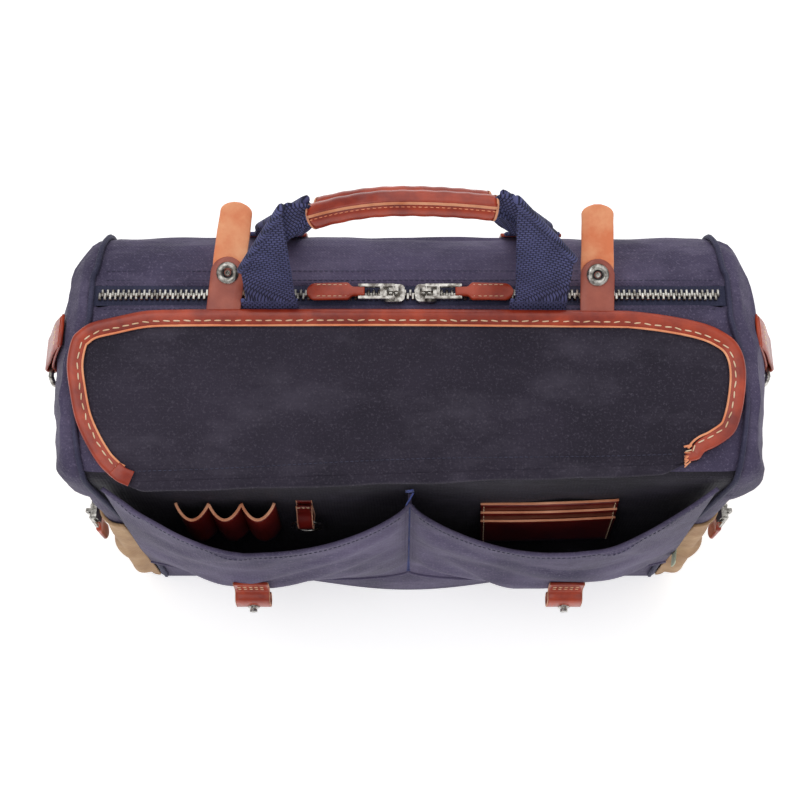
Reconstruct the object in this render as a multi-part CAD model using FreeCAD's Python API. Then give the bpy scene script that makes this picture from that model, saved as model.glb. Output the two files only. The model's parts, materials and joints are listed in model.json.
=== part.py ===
"""Messenger bag in waxed canvas with leather trim, built as separate named pieces.

Frame: millimetres, +Z up, origin on the floor at the centre of the base. The front of the bag faces -Y.
The bag stands on its base with its front flap folded back over the sloping top, the straps lying back over
the main zip, both handles up, the two front pockets open and every zip closed.
"""

import FreeCAD, Part
import math
import os

V = FreeCAD.Vector
X_AXIS, Y_AXIS, Z_AXIS = V(1, 0, 0), V(0, 1, 0), V(0, 0, 1)
SIDES = {"left": -1, "right": 1}

# ---------------------------------------------------------------- driving dimensions
FRONT_Y, BACK_Y = -88.0, 88.0  # outer faces of the main body
TOP_Z = 300.0  # height of the zip's flat ridge
SHOULDER_Z = 262.0  # where the front face turns into the sloping top
RIDGE_FRONT_Y, RIDGE_BACK_Y = 12.0, 46.0
CANVAS = 2.4  # canvas with its lining
BASE_HALF_W, SEAM_HALF_W, BULGE_HALF_W, RIDGE_HALF_W = 216.0, 232.0, 248.0, 222.0
SEAM_Z, BULGE_Z, GUSSET_TOP_Z = 212.0, 234.0, 266.0
CORNER_R = 16.0
PANEL_HALF_W = 205.0  # the front and back panels lie between the corded seams

ZIP_Y, ZIP_HALF_L = 28.0, 214.0
TAPE_HALF_W, TAPE_T = 7.0, 2.0
TEETH_W, TEETH_H = 8.4, 2.6
CLEAR = 0.35  # running gap between bodies

FLAP_T = 2.4
FLAP_LIFT = 5.0  # the flap's hinge and free edge lie this far above the top
FLAP_HINGE_HALF_W, FLAP_HALF_W = 192.0, 226.0
BINDING_W, BINDING_T = 12.0, 1.1
STRAP_X, STRAP_W, STRAP_T, STRAP_LEAN = 124.0, 21.0, 2.2, {"left": 9.0, "right": 0.0}
STRAP_RISE, STRAP_LENGTH, SNAP_FROM_HINGE = 26.0, 70.0, 22.0

HANDLE_X, LEG_X, LEG_W, WEBBING_T = -4.0, 89.0, 36.0, 2.6
GRIP_R, GRIP_CORE_R = 8.0, 5.6

POCKET_HALF_W, POCKET_FLOOR_Z = 205.0, 56.0
POCKET_SIDE_Z, POCKET_DIP_Z, POCKET_MID_Z = 252.0, 195.0, 233.0  # the pockets' scooped mouths
POCKET_BELLY, POCKET_SIDE, POCKET_MID = 34.0, 4.5, 9.0  # how far the front pockets stand off the wall
BELLY_X = 119.0

SIDE_ZIP_Z, SIDE_ZIP_Y0, SIDE_ZIP_Y1 = 142.0, -81.0, 56.0
SIDE_POCKET_Z0, SIDE_POCKET_T, SIDE_POCKET_R = 14.0, 5.0, 6.0
D_RING_Y, D_RING_Z = 10.0, 240.0


# ---------------------------------------------------------------- small tools
def box(x0, x1, y0, y1, z0, z1):
    return Part.makeBox(x1 - x0, y1 - y0, z1 - z0, V(x0, y0, z0))


def face_of(points):
    """A flat face through corner points; a list of two points is the middle and end of an arc."""
    edges, last = [], V(*points[0])
    for step in points[1:]:
        if isinstance(step, list):
            middle, end = V(*step[0]), V(*step[1])
            edges.append(Part.Arc(last, middle, end).toShape())
        else:
            end = V(*step)
            edges.append(Part.makeLine(last, end))
        last = end
    if last.distanceToPoint(V(*points[0])) > 1e-6:
        edges.append(Part.makeLine(last, V(*points[0])))
    return Part.Face(Part.Wire(edges))


def prism_x(yz_points, x0, x1):
    """A prism along X from a YZ outline."""
    lift = [
        [(x0, *p) for p in step] if isinstance(step, list) else (x0, *step)
        for step in yz_points
    ]
    return face_of(lift).extrude(V(x1 - x0, 0, 0))


def prism_y(xz_points, y0, y1):
    """A prism along Y from an XZ outline."""
    lift = [
        [(p[0], y0, p[1]) for p in step] if isinstance(step, list) else (step[0], y0, step[1])
        for step in xz_points
    ]
    return face_of(lift).extrude(V(0, y1 - y0, 0))


def rod(start, end, radius):
    axis = V(*end) - V(*start)
    return Part.makeCylinder(radius, axis.Length, V(*start), axis)


def rounded_plate(width, length, thickness, radius):
    """A plate from the origin along +Y, its far corners rounded, its lower face on z = 0."""
    half, k = width / 2, radius * (1 - math.sqrt(0.5))
    outline = [
        (-half, 0, 0),
        (half, 0, 0),
        (half, length - radius, 0),
        [(half - k, length - k, 0), (half - radius, length, 0)],
        (-half + radius, length, 0),
        [(-half + k, length - k, 0), (-half, length - radius, 0)],
    ]
    return face_of(outline).extrude(V(0, 0, thickness))


def moved(shape, turn_axis=None, angle=0.0, to=(0, 0, 0)):
    copy = shape.copy()
    if turn_axis is not None:
        copy.rotate(V(0, 0, 0), turn_axis, angle)
    copy.translate(V(*to))
    return copy


def mirrored(shape):
    return shape.mirror(V(0, 0, 0), X_AXIS)


def on_side(shape, side):
    """shape as modelled is on the right, at +X."""
    return shape if SIDES[side] > 0 else mirrored(shape)


# ---------------------------------------------------------------- main body
SLOPE = math.atan2(TOP_Z - SHOULDER_Z, RIDGE_FRONT_Y - FRONT_Y)


def side_outline(inset):
    """The body's YZ outline, moved inwards by inset."""
    lean = inset * math.tan((math.pi / 2 - SLOPE) / 2)
    ridge_lean = inset * math.tan(SLOPE / 2)
    return [
        (FRONT_Y + inset, inset),
        (FRONT_Y + inset, SHOULDER_Z - lean),
        (RIDGE_FRONT_Y + ridge_lean, TOP_Z - inset),
        (RIDGE_BACK_Y, TOP_Z - inset),
        [(BACK_Y - 11 - inset * 0.7, TOP_Z - 9 - inset * 0.7), (BACK_Y - inset, TOP_Z - 36)],
        (BACK_Y - inset, inset),
    ]


BODY_SECTIONS = (  # height and half width of the body
    (0.0, BASE_HALF_W),
    (SEAM_Z, SEAM_HALF_W),
    (BULGE_Z - 12, BULGE_HALF_W - 1.5),
    (BULGE_Z, BULGE_HALF_W),
    (BULGE_Z + 18, BULGE_HALF_W - 1.5),
    (GUSSET_TOP_Z, BULGE_HALF_W - 7),
    (TOP_Z - 14, BULGE_HALF_W - 15),
    (TOP_Z + 4, RIDGE_HALF_W - 2),
)


def rounded_plan(half_w, inset, z, radius):
    """A wire round the body's plan at height z."""
    w, front, back, r = half_w - inset, FRONT_Y + inset, BACK_Y - inset, radius - inset
    k = r * (1 - math.sqrt(0.5))
    outline = [
        (-w + r, front, z),
        (w - r, front, z),
        [(w - k, front + k, z), (w, front + r, z)],
        (w, back - r, z),
        [(w - k, back - k, z), (w - r, back, z)],
        (-w + r, back, z),
        [(-w + k, back - k, z), (-w, back - r, z)],
        (-w, front + r, z),
        [(-w + k, front + k, z), (-w + r, front, z)],
    ]
    return face_of(outline).OuterWire


def body_form(inset, radius=CORNER_R):
    """The solid of the stuffed body, moved inwards by inset (outwards where it is negative)."""
    stack = [rounded_plan(half_w, inset, z, radius) for z, half_w in BODY_SECTIONS]
    return Part.makeLoft(stack, True, True).common(prism_x(side_outline(inset), -300, 300))


def main_body():
    """The canvas shell, cut along its seams into panels."""
    shell = body_form(0).cut(body_form(CANVAS))
    zip_slot = box(-ZIP_HALF_L, ZIP_HALF_L, ZIP_Y - TAPE_HALF_W, ZIP_Y + TAPE_HALF_W, TOP_Z - 20, TOP_Z + 20)
    slope_run = RIDGE_FRONT_Y - FRONT_Y
    below = 5.0
    slope_cut = prism_x(
        [
            (FRONT_Y - 10, SHOULDER_Z - below),
            (FRONT_Y + 4, SHOULDER_Z - below),
            (FRONT_Y + 4 + slope_run, TOP_Z - below),
            (ZIP_Y, TOP_Z - below),
            (ZIP_Y, TOP_Z + 20),
            (FRONT_Y - 10, TOP_Z + 20),
        ],
        -300,
        300,
    )
    rear_cut = box(-300, 300, ZIP_Y, 120, GUSSET_TOP_Z, TOP_Z + 20)
    parts, rest = {}, shell.cut(zip_slot)
    cuts = [
        ("top_front_panel", slope_cut),
        ("top_rear_panel", rear_cut),
        ("bottom_panel", box(-300, 300, -120, 120, -1, CANVAS)),
        ("front_panel", box(-PANEL_HALF_W, PANEL_HALF_W, -120, FRONT_Y + 20, -1, 400)),
        ("back_panel", box(-PANEL_HALF_W, PANEL_HALF_W, BACK_Y - 20, 120, -1, 400)),
    ]
    for name, cutter in cuts:
        parts[name] = rest.common(cutter)
        rest = rest.cut(cutter)
    for side, sign in SIDES.items():
        half = box(0, 300, -120, 120, -1, 400)
        half = rest.common(half if sign > 0 else mirrored(half))
        parts["end_gusset_" + side] = half.common(box(-300, 300, -120, 120, SEAM_Z, 400))
        parts["lower_gusset_" + side] = half.common(box(-300, 300, -120, 120, -1, SEAM_Z))
    return parts


def base_board():
    gap, thickness = 6.0, 2.5
    x, y = BASE_HALF_W - CANVAS - gap, BACK_Y - CANVAS - gap
    board = box(-x, x, -y, y, CANVAS, CANVAS + thickness)
    return {"base_board": board.makeFillet(12, [e for e in board.Edges if abs(e.Length - thickness) < 1e-6])}


def divider():
    """The padded laptop divider, which hangs inside the main compartment parallel to the back."""
    y, thickness, side_gap = 62.0, 8.0, 16.0
    half = BASE_HALF_W - side_gap
    return {"padded_divider": box(-half, half, y - thickness, y, CANVAS + 3, 246)}


def piping():
    """The corded seams up both edges of the front and back panels."""
    radius, proud, sunk, cords = 2.0, 0.4, 1.4, []
    for x in (-PANEL_HALF_W - 5, PANEL_HALF_W + 5):
        cords.append(rod((x, FRONT_Y + sunk, 10), (x, FRONT_Y - proud, SHOULDER_Z - 3), radius))
        cords.append(rod((x, BACK_Y - sunk, 10), (x, BACK_Y + proud, GUSSET_TOP_Z - 4), radius))
    return {"seam_piping": Part.makeCompound(cords).cut(body_form(0))}


# ---------------------------------------------------------------- zips
def slider_body(bail_turn=0.0):
    """A zip slider over a chain along X, centred on the origin, with the tape's face at z = 0.

    The bail that holds the pull's bar lies along the chain, or across it when turned by 90 degrees.
    """
    length, wall, roof = 15.0, 1.9, 1.7
    inner_w, inner_h = TEETH_W + 2 * CLEAR, TEETH_H + CLEAR
    outer = box(-length / 2, length / 2, -inner_w / 2 - wall, inner_w / 2 + wall, CLEAR, inner_h + roof)
    nose = [e for e in outer.Edges if abs(e.Length - (inner_h + roof - CLEAR)) < 1e-6]
    outer = outer.makeFillet(3.5, nose)
    block = outer.cut(box(-length, length, -inner_w / 2, inner_w / 2, -1, inner_h))
    bail_h, bail_w, bail_l, hole_h = 5.2, 2.4, 9.0, 3.2
    z0 = inner_h + roof
    bail = box(-bail_l / 2, bail_l / 2, -bail_w / 2, bail_w / 2, z0, z0 + bail_h)
    top = [e for e in bail.Edges if e.Length < bail_w + 0.1 and e.CenterOfMass.z > z0 + bail_h - 0.1]
    top = [e for e in top if abs(e.CenterOfMass.x) > bail_l / 2 - 0.1]
    bail = bail.makeFillet(2.0, top)
    hole = box(-bail_l / 2 + 1.5, bail_l / 2 - 1.5, -5, 5, z0, z0 + hole_h)
    return block.fuse(moved(bail.cut(hole), Z_AXIS, bail_turn)).removeSplitter()


PULL_PIVOT_Z = TEETH_H + CLEAR + 1.7 + 1.6  # height of the pull's bar above the tape's face
PULL_BAR_R, PULL_L, PULL_W = 1.0, 22.0, 9.0
TAB_L, TAB_W = 36.0, 12.0


def puller():
    """The open ladder pull, from its pivot bar at the origin along +X."""
    r, half = PULL_BAR_R, PULL_W / 2
    body = box(PULL_L * 0.36 - r, PULL_L * 0.36 + r, -half, half, -r, r)
    for side in (-1, 1):
        body = body.fuse(box(-0.9, PULL_L + 1.6, side * half - r, side * half + r, -r, r))
    for x in (0, PULL_L):
        body = body.fuse(rod((x, -half, 0), (x, half, 0), r - 0.05))
    return body.removeSplitter()


def pull_tab():
    """The leather tab folded round the pull's end bar at the origin, along +X."""
    thickness, gap = 3.8, 2 * PULL_BAR_R + 1.2
    tab_w = min(TAB_W, PULL_W - 2 * PULL_BAR_R - 2 * CLEAR)
    neck = box(-2.8, 9, -tab_w / 2, tab_w / 2, -thickness / 2, thickness / 2)
    plate = rounded_plate(TAB_W, TAB_L - 6, thickness - 0.8, 5.5)
    blade = moved(plate, Z_AXIS, -90, (6, 0, -thickness / 2 + 0.4))
    tab = neck.fuse(blade).removeSplitter()
    return tab.cut(rod((0, -20, 0), (0, 20, 0), gap / 2 - 0.15))


SLIDER_X = 11.0
SIDE_SLIDER_Y = -74.0
SIDE_X = BASE_HALF_W + (SEAM_HALF_W - BASE_HALF_W) * SIDE_ZIP_Z / SEAM_Z  # gusset's face at the side zip


def main_zip():
    y0, y1 = ZIP_Y - TAPE_HALF_W, ZIP_Y + TAPE_HALF_W
    tape = box(-ZIP_HALF_L, ZIP_HALF_L, y0, y1, TOP_Z - TAPE_T - 0.4, TOP_Z - 0.4)
    face = TOP_Z - 0.4
    half_l, half_w = ZIP_HALF_L - 6, TEETH_W / 2
    teeth = box(-half_l, half_l, ZIP_Y - half_w, ZIP_Y + half_w, face, face + TEETH_H)
    parts = {"main_zip_tape": tape, "main_zip_teeth": teeth}
    for side in SIDES:
        parts["main_slider_" + side] = on_side(moved(slider_body(), to=(SLIDER_X, ZIP_Y, face)), side)
        pull = moved(puller(), to=(SLIDER_X, ZIP_Y, face + PULL_PIVOT_Z))
        parts["main_pull_" + side] = on_side(pull, side)
        tab = moved(pull_tab(), to=(SLIDER_X + PULL_L, ZIP_Y, face + PULL_PIVOT_Z))
        parts["main_pull_tab_" + side] = on_side(tab, side)
    return parts


def side_pocket(side):
    """The tan pouch round an end of the bag, its zip and the zip's slider, pull and tab."""
    lean = math.atan2(SEAM_HALF_W - BASE_HALF_W, SEAM_Z)
    top_z = SIDE_ZIP_Z + 10
    outside = body_form(-SIDE_POCKET_T, SIDE_POCKET_R)
    pouch = outside.cut(body_form(-0.02)).common(
        box(PANEL_HALF_W + 8, 300, FRONT_Y - 20, SIDE_ZIP_Y1 + 4, SIDE_POCKET_Z0, top_z)
    )
    out_x = SIDE_X + SIDE_POCKET_T / math.cos(lean) + 0.03

    def on_pouch(shape, y=0.0, off=0.0):
        """A shape built facing up, its X along the bag's Y, set on the pouch off from its face."""
        turned = moved(moved(shape, Z_AXIS, 90), Y_AXIS, 90 + math.degrees(lean))
        return moved(turned, to=(out_x + off * math.cos(lean), y, SIDE_ZIP_Z - off * math.sin(lean)))

    tape = on_pouch(box(SIDE_ZIP_Y0, SIDE_ZIP_Y1, -TAPE_HALF_W, TAPE_HALF_W, 0, 1.0))
    teeth = on_pouch(box(SIDE_ZIP_Y0 + 2, SIDE_ZIP_Y1 - 3, -TEETH_W / 2, TEETH_W / 2, 0, TEETH_H), off=1.0)
    slider = on_pouch(slider_body(90), SIDE_SLIDER_Y, 1.0)
    off = 1.0 + PULL_PIVOT_Z
    pivot = (out_x + off * math.cos(lean), SIDE_SLIDER_Y, SIDE_ZIP_Z - off * math.sin(lean))
    pull = moved(puller(), Y_AXIS, 90, pivot)
    tab = moved(pull_tab(), Y_AXIS, 90, (pivot[0], SIDE_SLIDER_Y, pivot[2] - PULL_L))
    names = ["side_pocket", "side_zip_tape", "side_zip_teeth", "side_slider", "side_pull", "side_pull_tab"]
    shapes = [pouch, tape, teeth, slider, pull, tab]
    return {name + "_" + side: on_side(shape, side) for name, shape in zip(names, shapes)}


# ---------------------------------------------------------------- flap and straps
HINGE = (0.0, FRONT_Y - 1.0, SHOULDER_Z + FLAP_LIFT)
FLAP_ROOT = 5.0  # bare cloth between the hinge line and the flap's own plate
FLAP_LENGTH = math.hypot(RIDGE_FRONT_Y + 1 - HINGE[1], TOP_Z + FLAP_LIFT - HINGE[2])


def flap_outline(inset):
    """The flap's plan from its hinge at y = 0 to its free edge, wider past the hinge, its corners rounded."""
    root, top = FLAP_HINGE_HALF_W - inset, FLAP_LENGTH - inset
    wide, waist = FLAP_HALF_W - inset, 46.0
    radius = 34.0 - inset
    k = radius * (1 - math.sqrt(0.5))
    start = FLAP_ROOT if inset == 0 else FLAP_ROOT - 1
    return [
        (-root, start, 0),
        (root, start, 0),
        [(root + (wide - root) * 0.72, start + waist * 0.5, 0), (wide, start + waist, 0)],
        (wide, top - radius, 0),
        [(wide - k, top - k, 0), (wide - radius, top, 0)],
        (-wide + radius, top, 0),
        [(-wide + k, top - k, 0), (-wide, top - radius, 0)],
        (-wide, start + waist, 0),
        [(-root - (wide - root) * 0.72, start + waist * 0.5, 0), (-root, start, 0)],
    ]


FLAP_TILT = math.degrees(math.atan2(TOP_Z + FLAP_LIFT - HINGE[2], RIDGE_FRONT_Y + 1 - HINGE[1]))


def to_flap(shape):
    """From the flap's own plan (hinge line on y = 0) to its place over the sloping top."""
    return moved(shape, X_AXIS, FLAP_TILT, HINGE)


def flap():
    plate = face_of(flap_outline(1.5)).extrude(V(0, 0, FLAP_T))
    ring_outer = face_of(flap_outline(0)).extrude(V(0, 0, FLAP_T + 2 * BINDING_T))
    ring_inner = face_of(flap_outline(BINDING_W)).extrude(V(0, 0, FLAP_T + 2 * BINDING_T))
    binding = moved(ring_outer.cut(ring_inner), to=(0, 0, -BINDING_T)).cut(plate)
    parts = {"flap_panel": to_flap(plate), "flap_binding": to_flap(binding)}
    base_l = 58.0
    for side, sign in SIDES.items():
        strip = rounded_plate(STRAP_W, base_l, STRAP_T, 4)
        strip = moved(strip, Z_AXIS, 180, (sign * STRAP_X, FLAP_LENGTH - BINDING_W - 0.5, -STRAP_T))
        parts["strap_base_" + side] = to_flap(strip)
    return parts


STRAP_HINGE = (RIDGE_FRONT_Y + 2.6, TOP_Z + FLAP_LIFT + 1.0)  # y and z of the line where the straps bend


def strap(side):
    """The free part of a closing strap with its backing and its snap socket."""
    sign = SIDES[side]
    blade = rounded_plate(STRAP_W, STRAP_LENGTH, STRAP_T, 7)
    backing = moved(rounded_plate(STRAP_W, SNAP_FROM_HINGE + 10, 1.6, 10.4), to=(0, 0, STRAP_T))
    bore = rod((0, SNAP_FROM_HINGE, -10), (0, SNAP_FROM_HINGE, 10), 4.0)
    leather = blade.fuse(backing).cut(bore)
    socket = rod((0, SNAP_FROM_HINGE, -2.0), (0, SNAP_FROM_HINGE, STRAP_T + 1.6 + 1.8), 3.95)
    socket = socket.fuse(rod((0, SNAP_FROM_HINGE, -2.0), (0, SNAP_FROM_HINGE, 0), 7.0))
    socket = socket.fuse(
        rod((0, SNAP_FROM_HINGE, STRAP_T + 1.6), (0, SNAP_FROM_HINGE, STRAP_T + 3.4), 7.4)
    )
    socket = socket.cut(rod((0, SNAP_FROM_HINGE, 0), (0, SNAP_FROM_HINGE, 12), 2.6))
    place = (sign * STRAP_X, *STRAP_HINGE)
    out = {}
    setback = 1.5 + STRAP_W / 2 * math.sin(math.radians(STRAP_LEAN[side]))
    for name, shape in (("strap_", leather), ("snap_socket_", socket)):
        leaned = moved(shape, Z_AXIS, sign * STRAP_LEAN[side], (0, setback, 0))
        out[name + side] = moved(leaned, X_AXIS, STRAP_RISE, place)
    return out


# ---------------------------------------------------------------- handles
HANDLES = {  # legs' base y and z; grip's y; its left, middle and right heights; its half length
    "front": (18.0, TOP_Z + 13.0, 30.0, 401.0, 418.0, 411.0, 55.0),
    "rear": (80.0, 291.0, 42.5, 388.0, 402.0, 395.0, 52.0),
}


def grip_path(name):
    """The arched centre line of a grip."""
    y, z_left, z_mid, z_right, reach = HANDLES[name][2:]
    ends = V(HANDLE_X - reach, y, z_left), V(HANDLE_X + reach, y, z_right)
    return Part.Wire([Part.Arc(ends[0], V(HANDLE_X, y, z_mid), ends[1]).toShape()])


def tube_along(path, radius):
    start = path.Edges[0].valueAt(path.Edges[0].FirstParameter)
    along = path.Edges[0].tangentAt(path.Edges[0].FirstParameter)
    ring = Part.Wire([Part.Circle(start, along, radius).toShape()])
    return path.makePipeShell([ring], True, False)


def leg(base, top, sign):
    """One webbing leg: flat where it is sewn on, gathered to a thick bundle where it enters the grip."""
    half_w, half_t = LEG_W / 2, WEBBING_T / 2
    low = [(base[0] + dx, base[1] + dy, base[2]) for dx, dy in
           ((-half_w, -half_t), (half_w, -half_t), (half_w, half_t), (-half_w, half_t))]
    bundle = GRIP_CORE_R * 0.68
    high = [(top[0], top[1] + dy, top[2] + dz * sign) for dz, dy in
            ((-bundle, -bundle), (bundle, -bundle), (bundle, bundle), (-bundle, bundle))]
    wires = [Part.makePolygon([V(*p) for p in ring + [ring[0]]]) for ring in (low, high)]
    return Part.makeLoft(wires, True, True)


def handle(name):
    base_y, base_z, y, z_left, _, z_right, reach = HANDLES[name]
    webbing = tube_along(grip_path(name), GRIP_CORE_R - 0.1)
    for sign, z_end in ((-1, z_left), (1, z_right)):
        base = (HANDLE_X + sign * LEG_X, base_y, base_z)
        top = (HANDLE_X + sign * (reach - 1.5), y, z_end + 0.4)
        webbing = webbing.fuse(leg(base, top, sign))
    grip = tube_along(grip_path(name), GRIP_R).cut(tube_along(grip_path(name), GRIP_CORE_R))
    return {name + "_handle_webbing": webbing.removeSplitter(), name + "_handle_grip": grip.cut(webbing)}


def anchors():
    """The sewn ends of the webbing: flat under the flap in front, under leather patches at the back."""
    t, front, rear = WEBBING_T, [], []
    rear_skin = body_form(-1.8).cut(body_form(-0.02))
    front_y, front_z = HANDLES["front"][:2]
    for sign in SIDES.values():
        x = HANDLE_X + sign * LEG_X
        tail = box(x - LEG_W / 2, x + LEG_W / 2, -34, 0, 0.02, t)
        tail = moved(tail, X_AXIS, math.degrees(SLOPE), (0, RIDGE_FRONT_Y, TOP_Z))
        stub = box(x - LEG_W / 2, x + LEG_W / 2, RIDGE_FRONT_Y - 1, front_y + t / 2, TOP_Z + 0.02, TOP_Z + 2)
        post_top = front_z - t / 2 - CLEAR
        post = box(x - LEG_W / 2, x + LEG_W / 2, front_y - t / 2, front_y + t / 2, TOP_Z + 1, post_top)
        front.append(tail.fuse(stub).fuse(post).removeSplitter())
        rear.append(rear_skin.common(box(x - 21, x + 21, 68, 120, 236, 286)))
    return {
        "front_handle_anchors": Part.makeCompound(front),
        "rear_handle_patches": Part.makeCompound(rear),
    }


# ---------------------------------------------------------------- front pockets and what they hold
def pocket_plan(offset):
    """The pocket panel's plan curve: sewn at both sides and at the middle, with a belly in each half."""
    side, mid, belly = (FRONT_Y - d - offset for d in (POCKET_SIDE, POCKET_MID, POCKET_BELLY))
    w = POCKET_HALF_W + offset
    half = [(w, side), (w * 0.84, belly + 10), (BELLY_X, belly), (w * 0.27, belly + 10)]
    points = [V(-x, y, 0) for x, y in half] + [V(0, mid, 0)] + [V(x, y, 0) for x, y in reversed(half)]
    curve = Part.BSplineCurve()
    curve.interpolate(points)
    return curve.toShape(), points[0], points[-1]


def pocket_block(offset, z0, z1):
    """Everything between the front wall and the pocket panel's plan curve."""
    curve, first, last = pocket_plan(offset)
    wall = FRONT_Y - 0.02
    corners = [last, V(last.x, wall, 0), V(first.x, wall, 0), first]
    edges = [curve] + [Part.makeLine(a, b) for a, b in zip(corners, corners[1:])]
    block = Part.Face(Part.Wire(edges)).extrude(V(0, 0, z1 - z0))
    return moved(block, to=(0, 0, z0))


def front_pockets():
    """One panel with its floor, sewn down the middle into two pockets with scooped mouths."""
    panel = pocket_block(CANVAS, POCKET_FLOOR_Z - CANVAS, POCKET_SIDE_Z)
    panel = panel.cut(pocket_block(0, POCKET_FLOOR_Z, POCKET_SIDE_Z + 1))
    edge = POCKET_HALF_W + CANVAS
    for sign in SIDES.values():
        mouth = [
            (0, POCKET_MID_Z),
            [(sign * BELLY_X * 0.87, POCKET_DIP_Z), (sign * edge, POCKET_SIDE_Z - 0.5)],
            (sign * (edge + 5), POCKET_SIDE_Z + 20),
            (0, POCKET_SIDE_Z + 20),
        ]
        panel = panel.cut(prism_y(mouth, FRONT_Y - 80, FRONT_Y + 1))
    web = box(-1.2, 1.2, FRONT_Y - POCKET_MID - 0.5, FRONT_Y - 0.02, POCKET_FLOOR_Z - 1, POCKET_MID_Z - 8)
    return {"front_pocket_panel": panel.fuse(web).removeSplitter()}


PEN_X0, PEN_PITCH, PEN_Z0, PEN_Z1 = -164.0, 23.0, 152.0, 210.0


def pen_loops():
    """One leather strip sewn down in four places so that it stands out in three loops."""
    t, depth = 1.6, 13.0
    wall = FRONT_Y - 0.02
    loops = None
    for i in range(3):
        x0 = PEN_X0 + i * PEN_PITCH
        x1, xm = x0 + PEN_PITCH, x0 + PEN_PITCH / 2
        outer = face_of([(x0, wall, 0), [(xm, wall - depth, 0), (x1, wall, 0)]])
        inner = face_of([(x0 + t, wall, 0), [(xm, wall - depth + t, 0), (x1 - t, wall, 0)]])
        loop = outer.extrude(V(0, 0, PEN_Z1 - PEN_Z0)).cut(inner.extrude(V(0, 0, PEN_Z1 - PEN_Z0)))
        loops = loop if loops is None else loops.fuse(loop)
    return {"pen_loops": moved(loops, to=(0, 0, PEN_Z0))}


CARD_X0, CARD_X1, CARD_Z0, CARD_Z1 = 50.0, 146.0, 128.0, 214.0


def card_holder():
    """Three stepped leather slots on a backing."""
    t = 1.3
    layers = []
    for i in range(3):
        y1 = FRONT_Y - 0.02 - i * (t + 0.3)
        layers.append(box(CARD_X0, CARD_X1, y1 - t, y1, CARD_Z0, CARD_Z1 - 15 * i))
    spacers = []
    for x0, x1 in ((CARD_X0, CARD_X0 + 3), (CARD_X1 - 3, CARD_X1)):
        spacers.append(box(x0, x1, FRONT_Y - 0.02 - 3 * t - 0.6, FRONT_Y - 0.02 - t, CARD_Z0, CARD_Z1 - 30))
    shape = layers[0]
    for piece in layers[1:] + spacers:
        shape = shape.fuse(piece)
    return {"card_holder": shape.removeSplitter()}


KEY_X, KEY_Z, KEY_Y = -74.0, 182.0, FRONT_Y - 6.5


def key_leash():
    """A short leather loop sewn to the wall, with a split ring hanging in it."""
    half_w, t, bore_r, ring_r, wire_r = 5.0, 1.8, 2.6, 11.0, 1.1
    wall = FRONT_Y - 0.02
    strip = box(KEY_X - half_w, KEY_X + half_w, wall - t, wall, KEY_Z + 6, 214)
    barrel = rod((KEY_X - half_w, KEY_Y, KEY_Z), (KEY_X + half_w, KEY_Y, KEY_Z), bore_r + t)
    riser = box(KEY_X - half_w, KEY_X + half_w, KEY_Y + bore_r, wall, KEY_Z, KEY_Z + 14)
    bore = rod((KEY_X - 9, KEY_Y, KEY_Z), (KEY_X + 9, KEY_Y, KEY_Z), bore_r)
    ring = moved(Part.makeTorus(ring_r, wire_r), X_AXIS, 90, (KEY_X, KEY_Y, KEY_Z - ring_r + 0.4))
    return {"key_leash": strip.fuse(riser).fuse(barrel).cut(bore).removeSplitter(), "key_ring": ring}


TAB_X, TAB_TOP_Z, TAB_LOOP_Z = 119.0, 124.0, 98.0


def stud_tabs():
    """The leather loops on the pocket panel and the snap studs that the straps close on."""
    t, half_w, depth = 2.2, 13.0, 10.5
    face = FRONT_Y - POCKET_BELLY - CANVAS - 0.3
    out = {}
    sewn = box(-half_w, half_w, face - t, face, TAB_LOOP_Z + 8, TAB_TOP_Z)
    outer = prism_x(
        [
            (face, TAB_LOOP_Z + 12),
            (face - t, TAB_LOOP_Z + 12),
            (face - depth, TAB_LOOP_Z + 6),
            (face - depth, TAB_LOOP_Z - 12),
            (face, TAB_LOOP_Z - 12),
        ],
        -half_w,
        half_w,
    )
    hollow = box(-50, 50, face - depth + t, face - t, TAB_LOOP_Z - 12 + t, TAB_LOOP_Z + 6)
    stud_z, front = TAB_LOOP_Z - 4, face - depth
    seat = rod((0, front - 5, stud_z), (0, front + t + 1, stud_z), 2.2)
    loop = sewn.fuse(outer.cut(hollow)).cut(seat).removeSplitter()
    stud = rod((0, front - 3.8, stud_z), (0, front + t, stud_z), 2.15)
    stud = stud.fuse(rod((0, front - 1.2, stud_z), (0, front - 0.01, stud_z), 4.6))
    stud = stud.fuse(rod((0, front - 4.4, stud_z), (0, front - 2.6, stud_z), 2.9))
    for side, sign in SIDES.items():
        out["stud_tab_" + side] = moved(loop, to=(sign * TAB_X, 0, 0))
        out["snap_stud_" + side] = moved(stud, to=(sign * TAB_X, 0, 0))
    return out


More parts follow.
